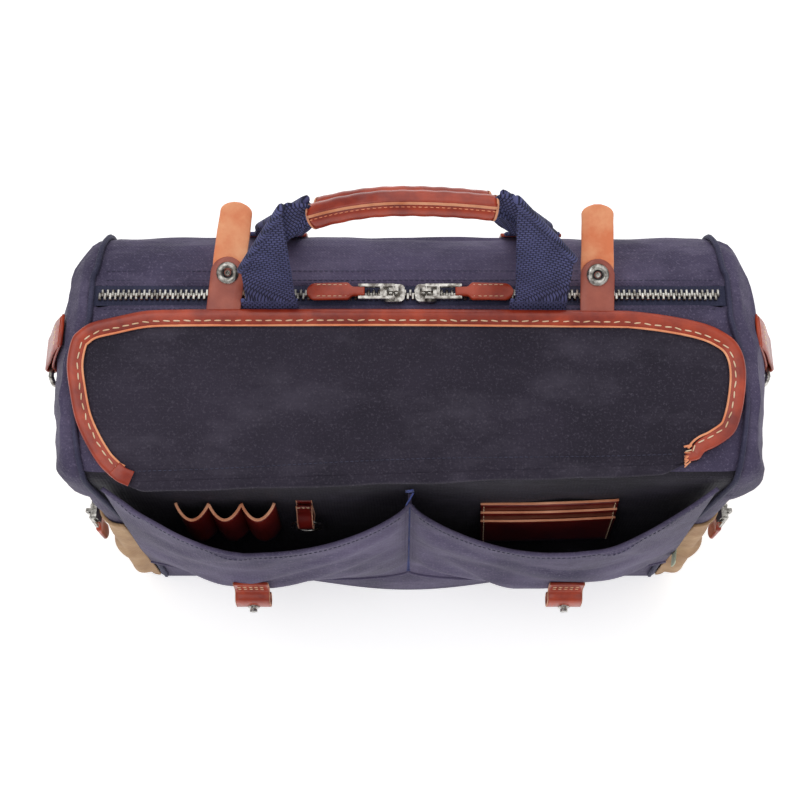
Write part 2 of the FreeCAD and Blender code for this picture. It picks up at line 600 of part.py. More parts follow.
# ---------------------------------------------------------------- shoulder strap rings
def d_ring(side):
    """A leather loop sewn high on the end gusset, and the D-ring that hangs in it."""
    t, half_w, bar_r = 2.0, 12.0, 1.9
    pivot_x = BULGE_HALF_W + t + bar_r + CLEAR
    patch = body_form(-t).cut(body_form(-0.02)).common(
        box(200, 300, D_RING_Y - half_w, D_RING_Y + half_w, D_RING_Z - 1, 284)
    )
    near, far = (pivot_x, D_RING_Y - half_w, D_RING_Z), (pivot_x, D_RING_Y + half_w, D_RING_Z)
    barrel = rod(near, far, bar_r + CLEAR + t)
    barrel = barrel.cut(body_form(-0.02))
    bore = rod((pivot_x, D_RING_Y - 40, D_RING_Z), (pivot_x, D_RING_Y + 40, D_RING_Z), bar_r + CLEAR)
    loop = patch.fuse(barrel).cut(bore).removeSplitter()
    half = 15.5
    ends = V(pivot_x, D_RING_Y - half, D_RING_Z), V(pivot_x, D_RING_Y + half, D_RING_Z)
    bend = V(pivot_x, D_RING_Y, D_RING_Z - 25)
    arc = Part.Wire([Part.Arc(ends[0], bend, ends[1]).toShape()])
    ring = tube_along(arc, bar_r).fuse(rod(tuple(ends[0]), tuple(ends[1]), bar_r - 0.02))
    for end in ends:
        ring = ring.fuse(Part.makeSphere(bar_r + 0.02, end))
    return {
        "d_ring_loop_" + side: on_side(loop, side),
        "d_ring_" + side: on_side(ring.removeSplitter(), side),
    }


def seam_label():
    """The small blank woven label caught in the pocket panel's side seam."""
    x = POCKET_HALF_W + CANVAS + 0.4
    return {"seam_label": box(x, x + 0.8, FRONT_Y - 13, FRONT_Y - 2.6, 82, 100)}


# ---------------------------------------------------------------- everything
def build():
    parts = {}
    for made in (
        main_body(), base_board(), divider(), piping(), main_zip(), flap(), anchors(),
        front_pockets(), pen_loops(), card_holder(), key_leash(), stud_tabs(), seam_label(),
    ):
        parts.update(made)
    for side in SIDES:
        parts.update(side_pocket(side))
        parts.update(strap(side))
        parts.update(d_ring(side))
    for name in HANDLES:
        parts.update(handle(name))
    return parts


def main():
    os.makedirs("parts", exist_ok=True)
    for name, shape in build().items():
        shape.exportStep("parts/" + name + ".step")
    print(len(os.listdir("parts")), "parts")


main()
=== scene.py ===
"""Messenger bag in waxed navy canvas with tan leather trim, standing with its flap folded back.

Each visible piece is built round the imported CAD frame. Lengths here are millimetres until a mesh is made.
"""

import json
import math

import bpy
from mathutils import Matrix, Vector, noise


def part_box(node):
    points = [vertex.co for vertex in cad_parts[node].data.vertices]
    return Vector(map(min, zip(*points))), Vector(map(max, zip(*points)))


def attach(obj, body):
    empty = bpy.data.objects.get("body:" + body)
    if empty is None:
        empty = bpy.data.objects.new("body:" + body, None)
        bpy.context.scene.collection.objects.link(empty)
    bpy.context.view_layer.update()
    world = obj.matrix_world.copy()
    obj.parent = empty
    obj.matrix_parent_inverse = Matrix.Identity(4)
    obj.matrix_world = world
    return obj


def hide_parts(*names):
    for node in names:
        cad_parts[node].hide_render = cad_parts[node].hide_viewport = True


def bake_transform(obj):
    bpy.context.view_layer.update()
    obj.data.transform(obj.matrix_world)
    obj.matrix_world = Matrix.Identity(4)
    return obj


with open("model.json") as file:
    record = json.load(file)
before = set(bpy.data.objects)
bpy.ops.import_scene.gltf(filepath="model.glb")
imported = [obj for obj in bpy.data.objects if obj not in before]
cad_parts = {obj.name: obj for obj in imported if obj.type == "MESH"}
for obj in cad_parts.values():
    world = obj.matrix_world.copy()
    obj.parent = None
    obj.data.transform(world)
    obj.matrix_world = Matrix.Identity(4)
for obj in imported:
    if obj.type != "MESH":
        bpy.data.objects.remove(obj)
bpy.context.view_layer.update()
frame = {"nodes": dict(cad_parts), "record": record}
MM = 0.001
SIDES = {"left": -1, "right": 1}
JOINTS = {joint["name"]: joint for joint in frame["record"]["behaviour"]["joints"]}

# ---------------------------------------------------------------- driving dimensions
FRONT_Y, TOP_Z, SHOULDER_Z = -88.0, 300.0, 262.0
ZIP_Y = 28.0
SEAM_Z = 212.0
PANEL_SEAM_X = 207.0
BELLY_X = 119.0
POCKET_MID_Z, POCKET_FLOOR_Z = 233.0, 58.0
HANDLE_X, LEG_X = -4.0, 89.0


def joint_place(name):
    """A hinge's point in millimetres."""
    return Vector(JOINTS[name]["pos_m"]) / MM


def mm_box(node):
    """The low and high corners of a node's box in millimetres."""
    low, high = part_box(node)
    return low / MM, high / MM


# ---------------------------------------------------------------- small tools
def lerp(a, b, t):
    return a + (b - a) * t


def smooth(t):
    """A soft step from 0 to 1 over t from 0 to 1."""
    t = min(max(t, 0.0), 1.0)
    return t * t * (3 - 2 * t)


def along(table, z):
    """Linear reading of a table of (z, value) pairs."""
    if z <= table[0][0]:
        return table[0][1]
    for (z0, v0), (z1, v1) in zip(table, table[1:]):
        if z <= z1:
            return lerp(v0, v1, (z - z0) / (z1 - z0))
    return table[-1][1]


def wrinkle(point, size, depth, seed=0.0):
    """A soft random height, in millimetres, with features about size across."""
    spot = Vector(point) / size + Vector((seed, seed * 0.7, -seed))
    return depth * noise.noise(spot)


def mesh_piece(name, shape, body, material, stands_for=(), shade=True):
    """A mesh from a shape (points in millimetres, faces and perhaps UVs), riding on a body."""
    verts, faces, *uvs = shape
    mesh = bpy.data.meshes.new(name)
    mesh.from_pydata([Vector(v) * MM for v in verts], [], faces)
    if uvs:
        layer = mesh.uv_layers.new(name="UVMap")
        for loop in mesh.loops:
            layer.data[loop.index].uv = uvs[0][loop.vertex_index]
    mesh.validate()
    mesh.update()
    piece = bpy.data.objects.new(name, mesh)
    bpy.context.collection.objects.link(piece)
    piece.data.materials.append(material)
    if shade:
        for polygon in mesh.polygons:
            polygon.use_smooth = True
    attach(piece, body)
    if stands_for:
        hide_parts(*stands_for)
    return piece


def grid(fn, us, vs):
    """Points, faces and UVs in metres of a surface fn(u, v) over two lists of values."""
    points = [[Vector(fn(u, v)) for u in us] for v in vs]
    nu, nv = len(us), len(vs)
    verts = [p for row in points for p in row]
    faces = [
        (k, k + 1, k + nu + 1, k + nu)
        for j in range(nv - 1) for k in range(j * nu, j * nu + nu - 1)
    ]
    uvs, height = [], 0.0
    for j in range(nv):
        height += (points[j][nu // 2] - points[j - 1][nu // 2]).length if j else 0.0
        run = 0.0
        for i in range(nu):
            run += (points[j][i] - points[j][i - 1]).length if i else 0.0
            uvs.append((run * MM, height * MM))
    return verts, faces, uvs


def repaint(node, material):
    """Give a CAD node that stays in view its material."""
    materials = frame["nodes"][node].data.materials
    materials.clear()
    materials.append(material)


def steps(start, end, count):
    """count + 1 evenly spaced values."""
    return [lerp(start, end, i / count) for i in range(count + 1)]


def thicken(piece, thickness, offset=-1.0):
    """Give a sheet its thickness."""
    solid = piece.modifiers.new("thickness", "SOLIDIFY")
    solid.thickness, solid.offset, solid.use_rim = thickness * MM, offset, True


def sweep(path, section):
    """Points, faces and UVs of a cross-section carried along a path of (point, across, up).

    section is a closed loop of (across, up) offsets, or a function that gives one for each step of the path.
    """
    verts, uvs, run = [], [], 0.0
    for i, (centre, across, up) in enumerate(path):
        run += (Vector(centre) - Vector(path[i - 1][0])).length if i else 0.0
        around = 0.0
        loop = section(i) if callable(section) else section
        for k, (a, b) in enumerate(loop):
            if k:
                around += math.hypot(a - loop[k - 1][0], b - loop[k - 1][1])
            verts.append(Vector(centre) + Vector(across) * a + Vector(up) * b)
            uvs.append((around * MM, run * MM))
    count = len(loop)
    faces = []
    for i in range(0, len(verts) - count, count):
        for k in range(count):
            m = (k + 1) % count
            faces.append((i + k, i + m, i + count + m, i + count + k))
    faces.append(tuple(range(count - 1, -1, -1)))
    faces.append(tuple(range(len(verts) - count, len(verts))))
    return verts, faces, uvs


def ring_section(radius_a, radius_b, count):
    """The closed section of a cord or a thread."""
    turn = 2 * math.pi / count
    return [(radius_a * math.cos(k * turn), radius_b * math.sin(k * turn)) for k in range(count)]


def strip_section(width, thickness, lift=0.0, corner=0.6):
    """The closed section of a leather or webbing strip, lying on lift, its edges rounded."""
    w, t, c = width / 2, thickness, min(corner, thickness * 0.45)
    top = [(w - c, t), (w * 0.5, t), (0, t), (-w * 0.5, t), (-w + c, t), (-w, t - c)]
    low = [(-w, c), (-w + c, 0), (-w * 0.5, 0), (0, 0), (w * 0.5, 0), (w - c, 0), (w, c), (w, t - c)]
    return [(a, b + lift) for a, b in top + low]


def framed(points, up_hint):
    """(point, across, up) along a list of points, with up as near up_hint as the path allows."""
    out, hint = [], Vector(up_hint)
    for i, point in enumerate(points):
        ahead = Vector(points[min(i + 1, len(points) - 1)]) - Vector(points[max(i - 1, 0)])
        ahead.normalize()
        up = (hint - ahead * hint.dot(ahead)).normalized()
        out.append((Vector(point), ahead.cross(up).normalized(), up))
    return out


def ribbon(line, across):
    """(point, across, up) along a list of points whose across direction stays the same."""
    across, last = Vector(across), len(line) - 1
    return [(p, across, across.cross(line[min(i + 1, last)] - line[max(i - 1, 0)]).normalized())
            for i, p in enumerate(line)]


def joined(*shapes):
    """Several shapes as one: points, faces and UVs."""
    verts, faces, uvs = [], [], []
    for more, more_faces, more_uvs in shapes:
        faces += [tuple(n + len(verts) for n in face) for face in more_faces]
        verts += more
        uvs += more_uvs
    return verts, faces, uvs


def curve_points(anchors, count):
    """A smooth Catmull-Rom line through anchors."""
    pts = [Vector(a) for a in anchors]
    pts = [pts[0] * 2 - pts[1]] + pts + [pts[-1] * 2 - pts[-2]]
    out = []
    spans = len(pts) - 3
    for i in range(count + 1):
        t = i / count * spans
        k = min(int(t), spans - 1)
        t -= k
        a, b, c, d = pts[k:k + 4]
        out.append(((b * 2) + (c - a) * t + (a * 2 - b * 5 + c * 4 - d) * t**2
                    + (b * 3 - a - c * 3 + d) * t**3) * 0.5)
    return out


def stitch_row(name, points, facing, body, material, pitch, length, thick, wobble=0.25):
    """A row of thread stitches along a line: each is a short rounded bead lying on the surface.

    facing is the surface's outward direction, or a list with one for each point.
    """
    lengths = [0.0]
    for a, b in zip(points, points[1:]):
        lengths.append(lengths[-1] + (Vector(b) - Vector(a)).length)
    verts, faces = [], []
    total, at, k = lengths[-1], pitch * 0.5, 0
    while at < total - length * 0.5:
        i = max(j for j in range(len(lengths)) if lengths[j] <= at)
        i = min(i, len(points) - 2)
        t = (at - lengths[i]) / max(lengths[i + 1] - lengths[i], 1e-6)
        centre = Vector(points[i]).lerp(Vector(points[i + 1]), t)
        ahead = (Vector(points[i + 1]) - Vector(points[i])).normalized()
        up = Vector(facing[i] if isinstance(facing, list) else facing).normalized()
        side = ahead.cross(up).normalized()
        lean = wobble * noise.noise(Vector((k * 1.7, total, 3.1)))
        ahead = (ahead + side * lean).normalized()
        base = len(verts)
        for s, swell in ((-1.0, 0.25), (-0.8, 0.8), (-0.3, 1.0), (0.3, 1.0), (0.8, 0.8), (1.0, 0.25)):
            for turn in range(6):
                angle = math.pi * turn / 3
                lift = thick * 0.5 * swell * math.sin(angle) + thick * 0.2 * (1 - s * s)
                out = thick * 0.5 * swell * math.cos(angle)
                verts.append(centre + ahead * s * length / 2 + side * out + up * lift)
        for ring in range(5):
            for turn in range(6):
                nxt = (turn + 1) % 6
                a = base + ring * 6
                faces.append((a + turn, a + nxt, a + 6 + nxt, a + 6 + turn))
        faces.append(tuple(base + turn for turn in range(5, -1, -1)))
        faces.append(tuple(base + 30 + turn for turn in range(6)))
        at += pitch * (1 + 0.06 * noise.noise(Vector((k * 0.9, 1.3, total))))
        k += 1
    return mesh_piece(name, (verts, faces), body, material)


# ---------------------------------------------------------------- materials
BLACK, WHITE = (0, 0, 0), (1, 1, 1)


def nodes_of(name, base, roughness, metallic=0.0, sheen=0.0, coat=0.0, specular=0.5):
    """A new material with its node tree and its shader."""
    material = bpy.data.materials.new(name)
    material.use_nodes = True
    shader = material.node_tree.nodes["Principled BSDF"]
    for socket, value in (
        ("Base Color", (*base, 1)), ("Roughness", roughness), ("Metallic", metallic), ("Sheen Weight", sheen),
        ("Sheen Roughness", 0.45), ("Coat Weight", coat), ("Coat Roughness", 0.22),
        ("Specular IOR Level", specular),
    ):
        shader.inputs[socket].default_value = value
    return material, material.node_tree, shader


def add(tree, kind, sockets=None, **settings):
    """A new node; sockets gives each input a value or the output that feeds it."""
    node = tree.nodes.new(kind)
    for key, value in settings.items():
        setattr(node, key, value)
    for key, value in (sockets or {}).items():
        if isinstance(value, bpy.types.NodeSocket):
            tree.links.new(value, node.inputs[key])
        else:
            node.inputs[key].default_value = value
    return node


def noise_node(tree, scale, detail, roughness=0.55, stretch=None):
    """A noise texture in object space, metres; stretch squeezes it along the axes."""
    source = add(tree, "ShaderNodeTexCoord").outputs["Object"]
    if stretch:
        source = add(tree, "ShaderNodeMapping", {"Vector": source, "Scale": stretch}).outputs["Vector"]
    sockets = {"Vector": source, "Scale": scale, "Detail": detail, "Roughness": roughness}
    return add(tree, "ShaderNodeTexNoise", sockets).outputs["Fac"]


def ramp(tree, source, *stops):
    """Colours along a value, from (place, colour) stops."""
    node = add(tree, "ShaderNodeValToRGB", {"Fac": source})
    for element, (place, colour) in zip(node.color_ramp.elements, stops):
        element.position = place
        element.color = (*colour, 1)
    return node.outputs["Color"]


def mix(tree, factor, first, second, blend="MIX"):
    """Two colours mixed; each value may be a number, a colour or a socket."""
    first, second = ((*v, 1) if isinstance(v, tuple) else v for v in (first, second))
    node = add(tree, "ShaderNodeMix", {0: factor, 6: first, 7: second}, data_type="RGBA", blend_type=blend)
    return node.outputs[2]


def flecked(tree, base, specks, source, low, high, share):
    """The base colour with part of the specks' colour laid over it where the source is high."""
    mask = ramp(tree, source, (low, BLACK), (high, WHITE))
    return mix(tree, mix(tree, share, BLACK, mask), base, specks)


def bump(tree, shader, *heights):
    """Chain (height socket, strength, distance in mm) bumps into the shader's normal."""
    last = {}
    for source, strength, distance in heights:
        sockets = {"Strength": strength, "Distance": distance * MM, "Height": source, **last}
        last = {"Normal": add(tree, "ShaderNodeBump", sockets).outputs["Normal"]}
    tree.links.new(last["Normal"], shader.inputs["Normal"])


def weave(tree, pitch):
    """A plain weave's height: two crossed sets of ribs, pitch millimetres apart."""
    source = add(tree, "ShaderNodeTexCoord").outputs["UV"]
    sockets = {"Vector": source, "Scale": 1 / (pitch * MM) / 20 * math.pi, "Distortion": 0.6, "Detail": 1.0}
    ribs = {}
    for n, direction in enumerate("XY"):
        rib = add(tree, "ShaderNodeTexWave", sockets, wave_type="BANDS", bands_direction=direction)
        ribs[n] = rib.outputs["Fac"]
    return add(tree, "ShaderNodeMath", ribs, operation="MULTIPLY").outputs[0]


def canvas(name, dark, light, specks, folds=1.0):
    """Waxed canvas: cloudy wax, rubbed paler patches, fine weave with pale flecks, soft creases."""
    material, tree, shader = nodes_of(name, dark, 0.66, sheen=0.03, specular=0.25)
    base = ramp(tree, noise_node(tree, 11.0, 5.0, 0.6), (0.36, dark), (0.66, light))
    rubbed = noise_node(tree, 34.0, 6.0, 0.65, stretch=(0.45, 1.0, 1.0))
    base = flecked(tree, base, specks, rubbed, 0.5, 0.78, 0.35)
    base = flecked(tree, base, specks, noise_node(tree, 620.0, 2.0, 0.75), 0.54, 0.74, 0.42)
    tree.links.new(base, shader.inputs["Base Color"])
    crease = noise_node(tree, 18.0, 7.0, 0.62, stretch=(0.7, 1.0, 1.3))
    bump(tree, shader, (crease, 0.5 * folds, 8.0), (weave(tree, 1.1), 0.45, 0.45),
         (noise_node(tree, 1500.0, 2.0), 0.25, 0.3))
    return material


def leather(name, dark, light, roughness, coat, grain=0.3, fuzz=0.0):
    """Leather or thread: cloudy tone, coarse grain and fine pores; fuzz for a rough, napped side."""
    material, tree, shader = nodes_of(name, light, roughness, coat=coat, sheen=fuzz)
    base = ramp(tree, noise_node(tree, 45.0, 6.0, 0.6), (0.34, dark), (0.68, light))
    tree.links.new(base, shader.inputs["Base Color"])
    pores = noise_node(tree, 700.0 if fuzz else 1400.0, 3.0, 0.6)
    bump(tree, shader, (noise_node(tree, 120.0, 5.0), grain, 0.6), (pores, grain + fuzz, 0.25 + fuzz * 0.5))
    return material


def metal(name, dark, light, roughness):
    """Plated metal with a mottled patina."""
    material, tree, shader = nodes_of(name, light, roughness, metallic=1.0)
    patina = ramp(tree, noise_node(tree, 260.0, 5.0), (0.38, dark), (0.62, light))
    tree.links.new(patina, shader.inputs["Base Color"])
    sockets = {"To Min": roughness * 0.7, "To Max": roughness * 1.5, "Value": noise_node(tree, 420.0, 3.0)}
    rough = add(tree, "ShaderNodeMapRange", sockets)
    tree.links.new(rough.outputs["Result"], shader.inputs["Roughness"])
    bump(tree, shader, (noise_node(tree, 900.0, 2.0), 0.08, 0.2))
    return material


def basket_webbing():
    """Coarse navy webbing: rows of raised picks, alternate rows offset by half a pick."""
    material, tree, shader = nodes_of("navy_webbing", (0.03, 0.045, 0.12), 0.75, sheen=0.05, specular=0.25)
    picks = add(tree, "ShaderNodeTexBrick", {
        "Vector": add(tree, "ShaderNodeTexCoord").outputs["UV"], "Scale": 1.0, "Mortar Size": 0.0006,
        "Mortar Smooth": 1.0, "Brick Width": 0.0033, "Row Height": 0.0023,
    }, offset=0.5, offset_frequency=2, squash=1.0).outputs["Fac"]
    tone = ramp(tree, picks, (0.0, (0.1, 0.105, 0.24)), (0.75, (0.016, 0.017, 0.045)))
    cloud = ramp(tree, noise_node(tree, 60.0, 4.0), (0.35, (0.75, 0.75, 0.8)), (0.7, (1.15, 1.15, 1.2)))
    tree.links.new(mix(tree, 1.0, tone, cloud, "MULTIPLY"), shader.inputs["Base Color"])
    height = add(tree, "ShaderNodeMath", {0: 1.0, 1: picks}, operation="SUBTRACT").outputs[0]
    bump(tree, shader, (height, 0.9, 0.6), (noise_node(tree, 1600.0, 2.0), 0.3, 0.25))
    return material


def twill():
    """Tan cotton twill with its slanting ribs."""
    material, tree, shader = nodes_of("tan_twill", (0.46, 0.29, 0.15), 0.8, sheen=0.05)
    tone = ramp(tree, noise_node(tree, 40.0, 5.0), (0.35, (0.36, 0.2, 0.1)), (0.68, (0.56, 0.36, 0.2)))
    tree.links.new(tone, shader.inputs["Base Color"])
    sockets = {"Vector": add(tree, "ShaderNodeTexCoord").outputs["UV"], "Scale": 160.0}
    wale = add(tree, "ShaderNodeTexWave", sockets, wave_type="BANDS", bands_direction="DIAGONAL")
    bump(tree, shader, (noise_node(tree, 30.0, 5.0), 0.4, 4.0), (wale.outputs["Fac"], 0.4, 0.35))
    return material


NAVY = canvas("waxed_canvas", (0.05, 0.041, 0.083), (0.108, 0.088, 0.165), (0.26, 0.22, 0.34))
# Painted shade: the same canvas darkened for the front wall inside the pockets, where shade falls.
CANVAS_WITH_PAINTED_SHADE = canvas(  # the same cloth in the pockets' shade
    "canvas_painted_shade", (0.008, 0.006, 0.012), (0.016, 0.013, 0.023), (0.06, 0.05, 0.08), 0.6)
LINING = canvas("waxed_canvas_inner", (0.016, 0.012, 0.024), (0.031, 0.024, 0.043), (0.12, 0.105, 0.145), 0.6)
PIPING = canvas("piping_canvas", (0.03, 0.03, 0.062), (0.06, 0.056, 0.11), (0.13, 0.12, 0.2), 0.3)
WEBBING = basket_webbing()
TAPE = canvas("zip_tape", (0.02, 0.022, 0.05), (0.035, 0.036, 0.08), (0.08, 0.08, 0.14), 0.2)
TAN = leather("tan_leather", (0.22, 0.014, 0.004), (0.5, 0.056, 0.014), 0.34, 0.2)
SMOOTH_TAN = leather("smooth_strap_leather", (0.3, 0.06, 0.04), (0.46, 0.12, 0.075), 0.42, 0.12)
SUEDE = leather("leather_flesh_side", (0.86, 0.25, 0.11), (1.0, 0.47, 0.25), 0.9, 0.0, 0.5, 0.2)
DARK_TAN = leather("pocket_leather", (0.085, 0.004, 0.003), (0.18, 0.011, 0.007), 0.36, 0.12)
RAW_EDGE = leather("raw_leather_edge", (0.55, 0.18, 0.08), (0.85, 0.42, 0.25), 0.85, 0.0, 0.4, 0.2)
TWILL = twill()
NICKEL = metal("antique_nickel", (0.16, 0.145, 0.13), (0.62, 0.6, 0.56), 0.27)
# Painted shade: nickel darkened to near black for the snap's recessed well.
METAL_PAINTED_SHADE = metal("snap_recess_painted_shade", (0.01, 0.01, 0.012), (0.05, 0.05, 0.055), 0.4)
CREAM = leather("cream_thread", (0.75, 0.5, 0.28), (0.95, 0.78, 0.55), 0.7, 0.0, 0.4, 0.2)
NAVY_THREAD = leather("navy_thread", (0.02, 0.02, 0.05), (0.05, 0.05, 0.1), 0.7, 0.0, 0.4, 0.1)
BLUE_THREAD = leather("blue_thread", (0.03, 0.05, 0.22), (0.08, 0.11, 0.4), 0.65, 0.0, 0.4, 0.2)
LABEL = leather("label_weave", (0.4, 0.46, 0.3), (0.6, 0.66, 0.48), 0.8, 0.0, 0.5, 0.2)
BOARD = leather("stiffener_board", (0.03, 0.03, 0.034), (0.06, 0.06, 0.065), 0.8, 0.0, 0.2)


# ---------------------------------------------------------------- body shell
END_WIDTHS = [  # height and half width: lower gusset, the folded bulge that overhangs it, then the top
    (0, 214), (20, 219), (60, 223), (120, 227), (SEAM_Z - 4, 231), (SEAM_Z - 1, 233), (SEAM_Z + 1, 245.5),
    (SEAM_Z + 4, 248.5), (232, 249.5), (248, 248), (266, 241.5), (286, 234), (TOP_Z, 222),
]
FRONT_LINE = [(0, -87), (250, -88), (257, -87), (262, -84), (267, -76), (272, -62), (TOP_Z, 12)]
BACK_LINE = [(0, 87), (262, 88), (272, 86.5), (280, 83), (287, 77.5), (293, 70), (297, 61), (TOP_Z, 48)]
FRONT_SEAM = [
    (0, 203), (120, 205), (165, 208), (205, 213), (240, 217), (262, 219), (272, 223), (280, 225), (290, 222),
    (TOP_Z, 214),
]
BACK_SEAM = [(0, 204), (240, 209), (285, 210), (TOP_Z, 212)]
ALONG, CORNER, ACROSS = 110, 11, 16  # faces along the front, round a corner and across an end


def body_ring(z, front, back, half_w, front_seam, back_seam):
    """One level of the body, anticlockwise from the left end of the front."""
    near = min(13.0, (back - front) * 0.25)
    far = min(lerp(27.0, 75.0, smooth((z - SEAM_Z + 14) / 20)), (back - front) * 0.5)
    taper = 7.0 * smooth((z - SEAM_Z + 1) / 3) * smooth((TOP_Z - z) / 30)

    def end_x(y):
        """The end's half width, a little less towards the front."""
        return half_w - taper * smooth((-y - 10) / 60)
    turns = [math.pi / 2 * i / CORNER for i in range(1, CORNER + 1)]
    side = steps(front + near, back - far, ACROSS)
    front_turn, back_turn = end_x(front + near) - front_seam, half_w - back_seam
    points = [(x, front - front_sag(x, z), z) for x in steps(-front_seam, front_seam, ALONG)]
    points += [(front_seam + front_turn * math.sin(a), front + near * (1 - math.cos(a)), z) for a in turns]
    points += [(end_x(y), y, z) for y in side[1:]]
    points += [(back_seam + back_turn * math.cos(a), back - far * (1 - math.sin(a)), z) for a in turns]
    points += [(x, back, z) for x in steps(back_seam, -back_seam, ALONG)[1:]]
    points += [(-back_seam - back_turn * math.sin(a), back - far * (1 - math.cos(a)), z) for a in turns]
    points += [(-end_x(y), y, z) for y in steps(back - far, front + near, ACROSS)[1:]]
    points += [
        (-front_seam - front_turn * math.cos(a), front + near * (1 - math.sin(a)), z) for a in turns[:-1]]
    return points


def body_levels():
    """The levels of the body from the floor up: height, front and back y, and half widths."""
    heights = steps(0, 200, 36) + steps(202, 222, 16) + steps(225, 250, 9) + steps(252, TOP_Z, 34)
    tables = (FRONT_LINE, BACK_LINE, END_WIDTHS, FRONT_SEAM, BACK_SEAM)
    rings = [(z, *(along(table, z) for table in tables)) for z in heights]
    rings.append((TOP_Z + 0.2, 17.0, 41.0, 219.0, 212.0, 210.0))
    rings.append((TOP_Z - 0.2, ZIP_Y - 7.2, ZIP_Y + 7.2, 214.0, 208.0, 208.0))
    rings.append((TOP_Z - 2.0, ZIP_Y - 6.8, ZIP_Y + 6.8, 213.5, 207.5, 207.5))
    return rings


def body_folds(point, normal, edge):
    """How far the cloth stands off the plain form: soft creases, drape folds on the ends, pinched seams."""
    x, y, z = point
    height = wrinkle(point, 62, 1.8) + wrinkle((x, y * 1.6, z), 24, 1.1, 5)
    if abs(normal.x) > 0.55:
        height += wrinkle((y * 3.2, z * 0.8, x * 0.1), 46, 1.6, 2) * smooth((z - 90) / 80)
        height -= 1.6 * math.exp(-((z - SEAM_Z) / 4.0) ** 2)
        height -= (max(height, 0) + 1.0) * math.exp(-((y - 10) / 24) ** 2 - ((z - 228) / 16) ** 2)
    if normal.z > 0.6:
        height += wrinkle((x * 0.55, y * 2.6, z), 40, 1.6, 8) - 1.4 * smooth(1 - abs(x) / 160)
        height *= smooth((abs(y - ZIP_Y) - 7) / 14)
    height -= 1.3 * math.exp(-(edge / 5.0) ** 2)
    if z < 30:
        height *= z / 30
    return height


def body_shell():
    """The stuffed canvas body as panels that meet at their seams."""
    rings = body_levels()
    loops = [body_ring(*ring) for ring in rings]
    count = len(loops[0])
    points = [Vector(p) for loop in loops for p in loop]
    marks = {}
    for j in range(len(loops) - 1):
        for i in range(count):
            k = (i + 1) % count
            face = (j * count + i, j * count + k, (j + 1) * count + k, (j + 1) * count + i)
            z = (rings[j][0] + rings[j + 1][0]) / 2
            top = z > SHOULDER_Z
            if i < ALONG:
                panel = "top_front_panel" if top else "front_panel" if z > POCKET_FLOOR_Z else "front_foot"
            elif ALONG + 2 * CORNER + ACROSS <= i < 2 * ALONG + 2 * CORNER + ACROSS:
                panel = "top_rear_panel" if z > 266 else "back_panel"
            else:
                side = "right" if i < ALONG + 2 * CORNER + ACROSS else "left"
                panel = ("end_gusset_" if z > SEAM_Z else "lower_gusset_") + side
            marks.setdefault(panel, []).append(face)
    probe = bpy.data.meshes.new("probe")
    probe.from_pydata(points, [], [f for faces in marks.values() for f in faces])
    normals = [v.normal.copy() for v in probe.vertices]
    bpy.data.meshes.remove(probe)
    moved = []
    for n, (point, normal) in enumerate(zip(points, normals)):
        j = n // count
        seam = rings[j][4] if point.y < ZIP_Y else rings[j][5]
        edge = abs(abs(point.x) - seam)
        moved.append(point + normal * body_folds(point, normal, edge))
    for panel, faces in marks.items():
        used = sorted({v for face in faces for v in face})
        place = {v: k for k, v in enumerate(used)}
        verts = [moved[v] for v in used]
        flat_uv = [((p.x + p.y) * MM, (p.z + (p.y if abs(p.z - TOP_Z) < 40 else 0)) * MM) for p in verts]
        # the front wall behind the pockets gets the canvas with painted shade
        cloth = CANVAS_WITH_PAINTED_SHADE if panel == "front_panel" else NAVY
        mesh_piece(
            "canvas_" + panel, (verts, [tuple(place[v] for v in f) for f in faces], flat_uv), "bag",
            cloth, [panel] if panel in frame["nodes"] else ())
    base = [moved[i] for i in range(count)]
    middle = [Vector((p.x * 0.8, p.y * 0.6, 0.0)) for p in base]
    faces = [(i, (i + 1) % count, count + (i + 1) % count, count + i) for i in range(count)]
    faces.append(tuple(range(count, 2 * count)))
    faces = [tuple(reversed(f)) for f in faces]
    mesh_piece(
        "canvas_bottom_panel", (base + middle, faces, [(p.x * MM, p.y * MM) for p in base + middle]),
        "bag", NAVY, ["bottom_panel"])


def shoulder_piping():
    """The corded seam that runs up the front, over the top and down the back, at each end."""
    cords = []
    for sign in SIDES.values():
        line = []
        for z in steps(6, TOP_Z, 60):
            line.append((sign * along(FRONT_SEAM, z), along(FRONT_LINE, z) - 0.6, z))
        line += [(sign * 214, y, TOP_Z + 0.6) for y in (16, 22, 34, 42)]
        for z in steps(TOP_Z, 6, 60):
            line.append((sign * along(BACK_SEAM, z), along(BACK_LINE, z) + 0.6, z))
        frames = framed(curve_points(line, 240), (sign, 0, 0.3))
        cords.append(sweep(frames, ring_section(2.1, 1.9, 10)))
    mesh_piece("corded_seams", joined(*cords), "bag", PIPING, ["seam_piping"])


def hidden_parts():
    """The stiffener keeps its CAD shape; the divider is a quilted pad."""
    repaint("base_board", BOARD)
    low, high = mm_box("padded_divider")
    middle, half_t = (low.y + high.y) / 2, (high.y - low.y) / 2

    def pad(a, z):
        """Both faces of the pad, a from -2 to 2 round it; quilted in upright channels."""
        u, face = (a + 1, -1) if a < 0 else (1 - a, 1)
        x = lerp(low.x, high.x, (u + 1) / 2)
        rim = min(1 - abs(u), 0.06) / 0.06 * min(z - low.z, high.z - z, 12) / 12
        puff = math.sqrt(max(rim, 0.0)) * (0.62 + 0.38 * abs(math.sin(math.pi * (x - low.x) / 52)))
        return (x, middle + face * half_t * max(puff, 0.12), z)
    divider = mesh_piece(
        "quilted_divider", grid(pad, steps(-2, 2, 200), steps(low.z, high.z, 50)), "bag",
        LINING, ["padded_divider"])


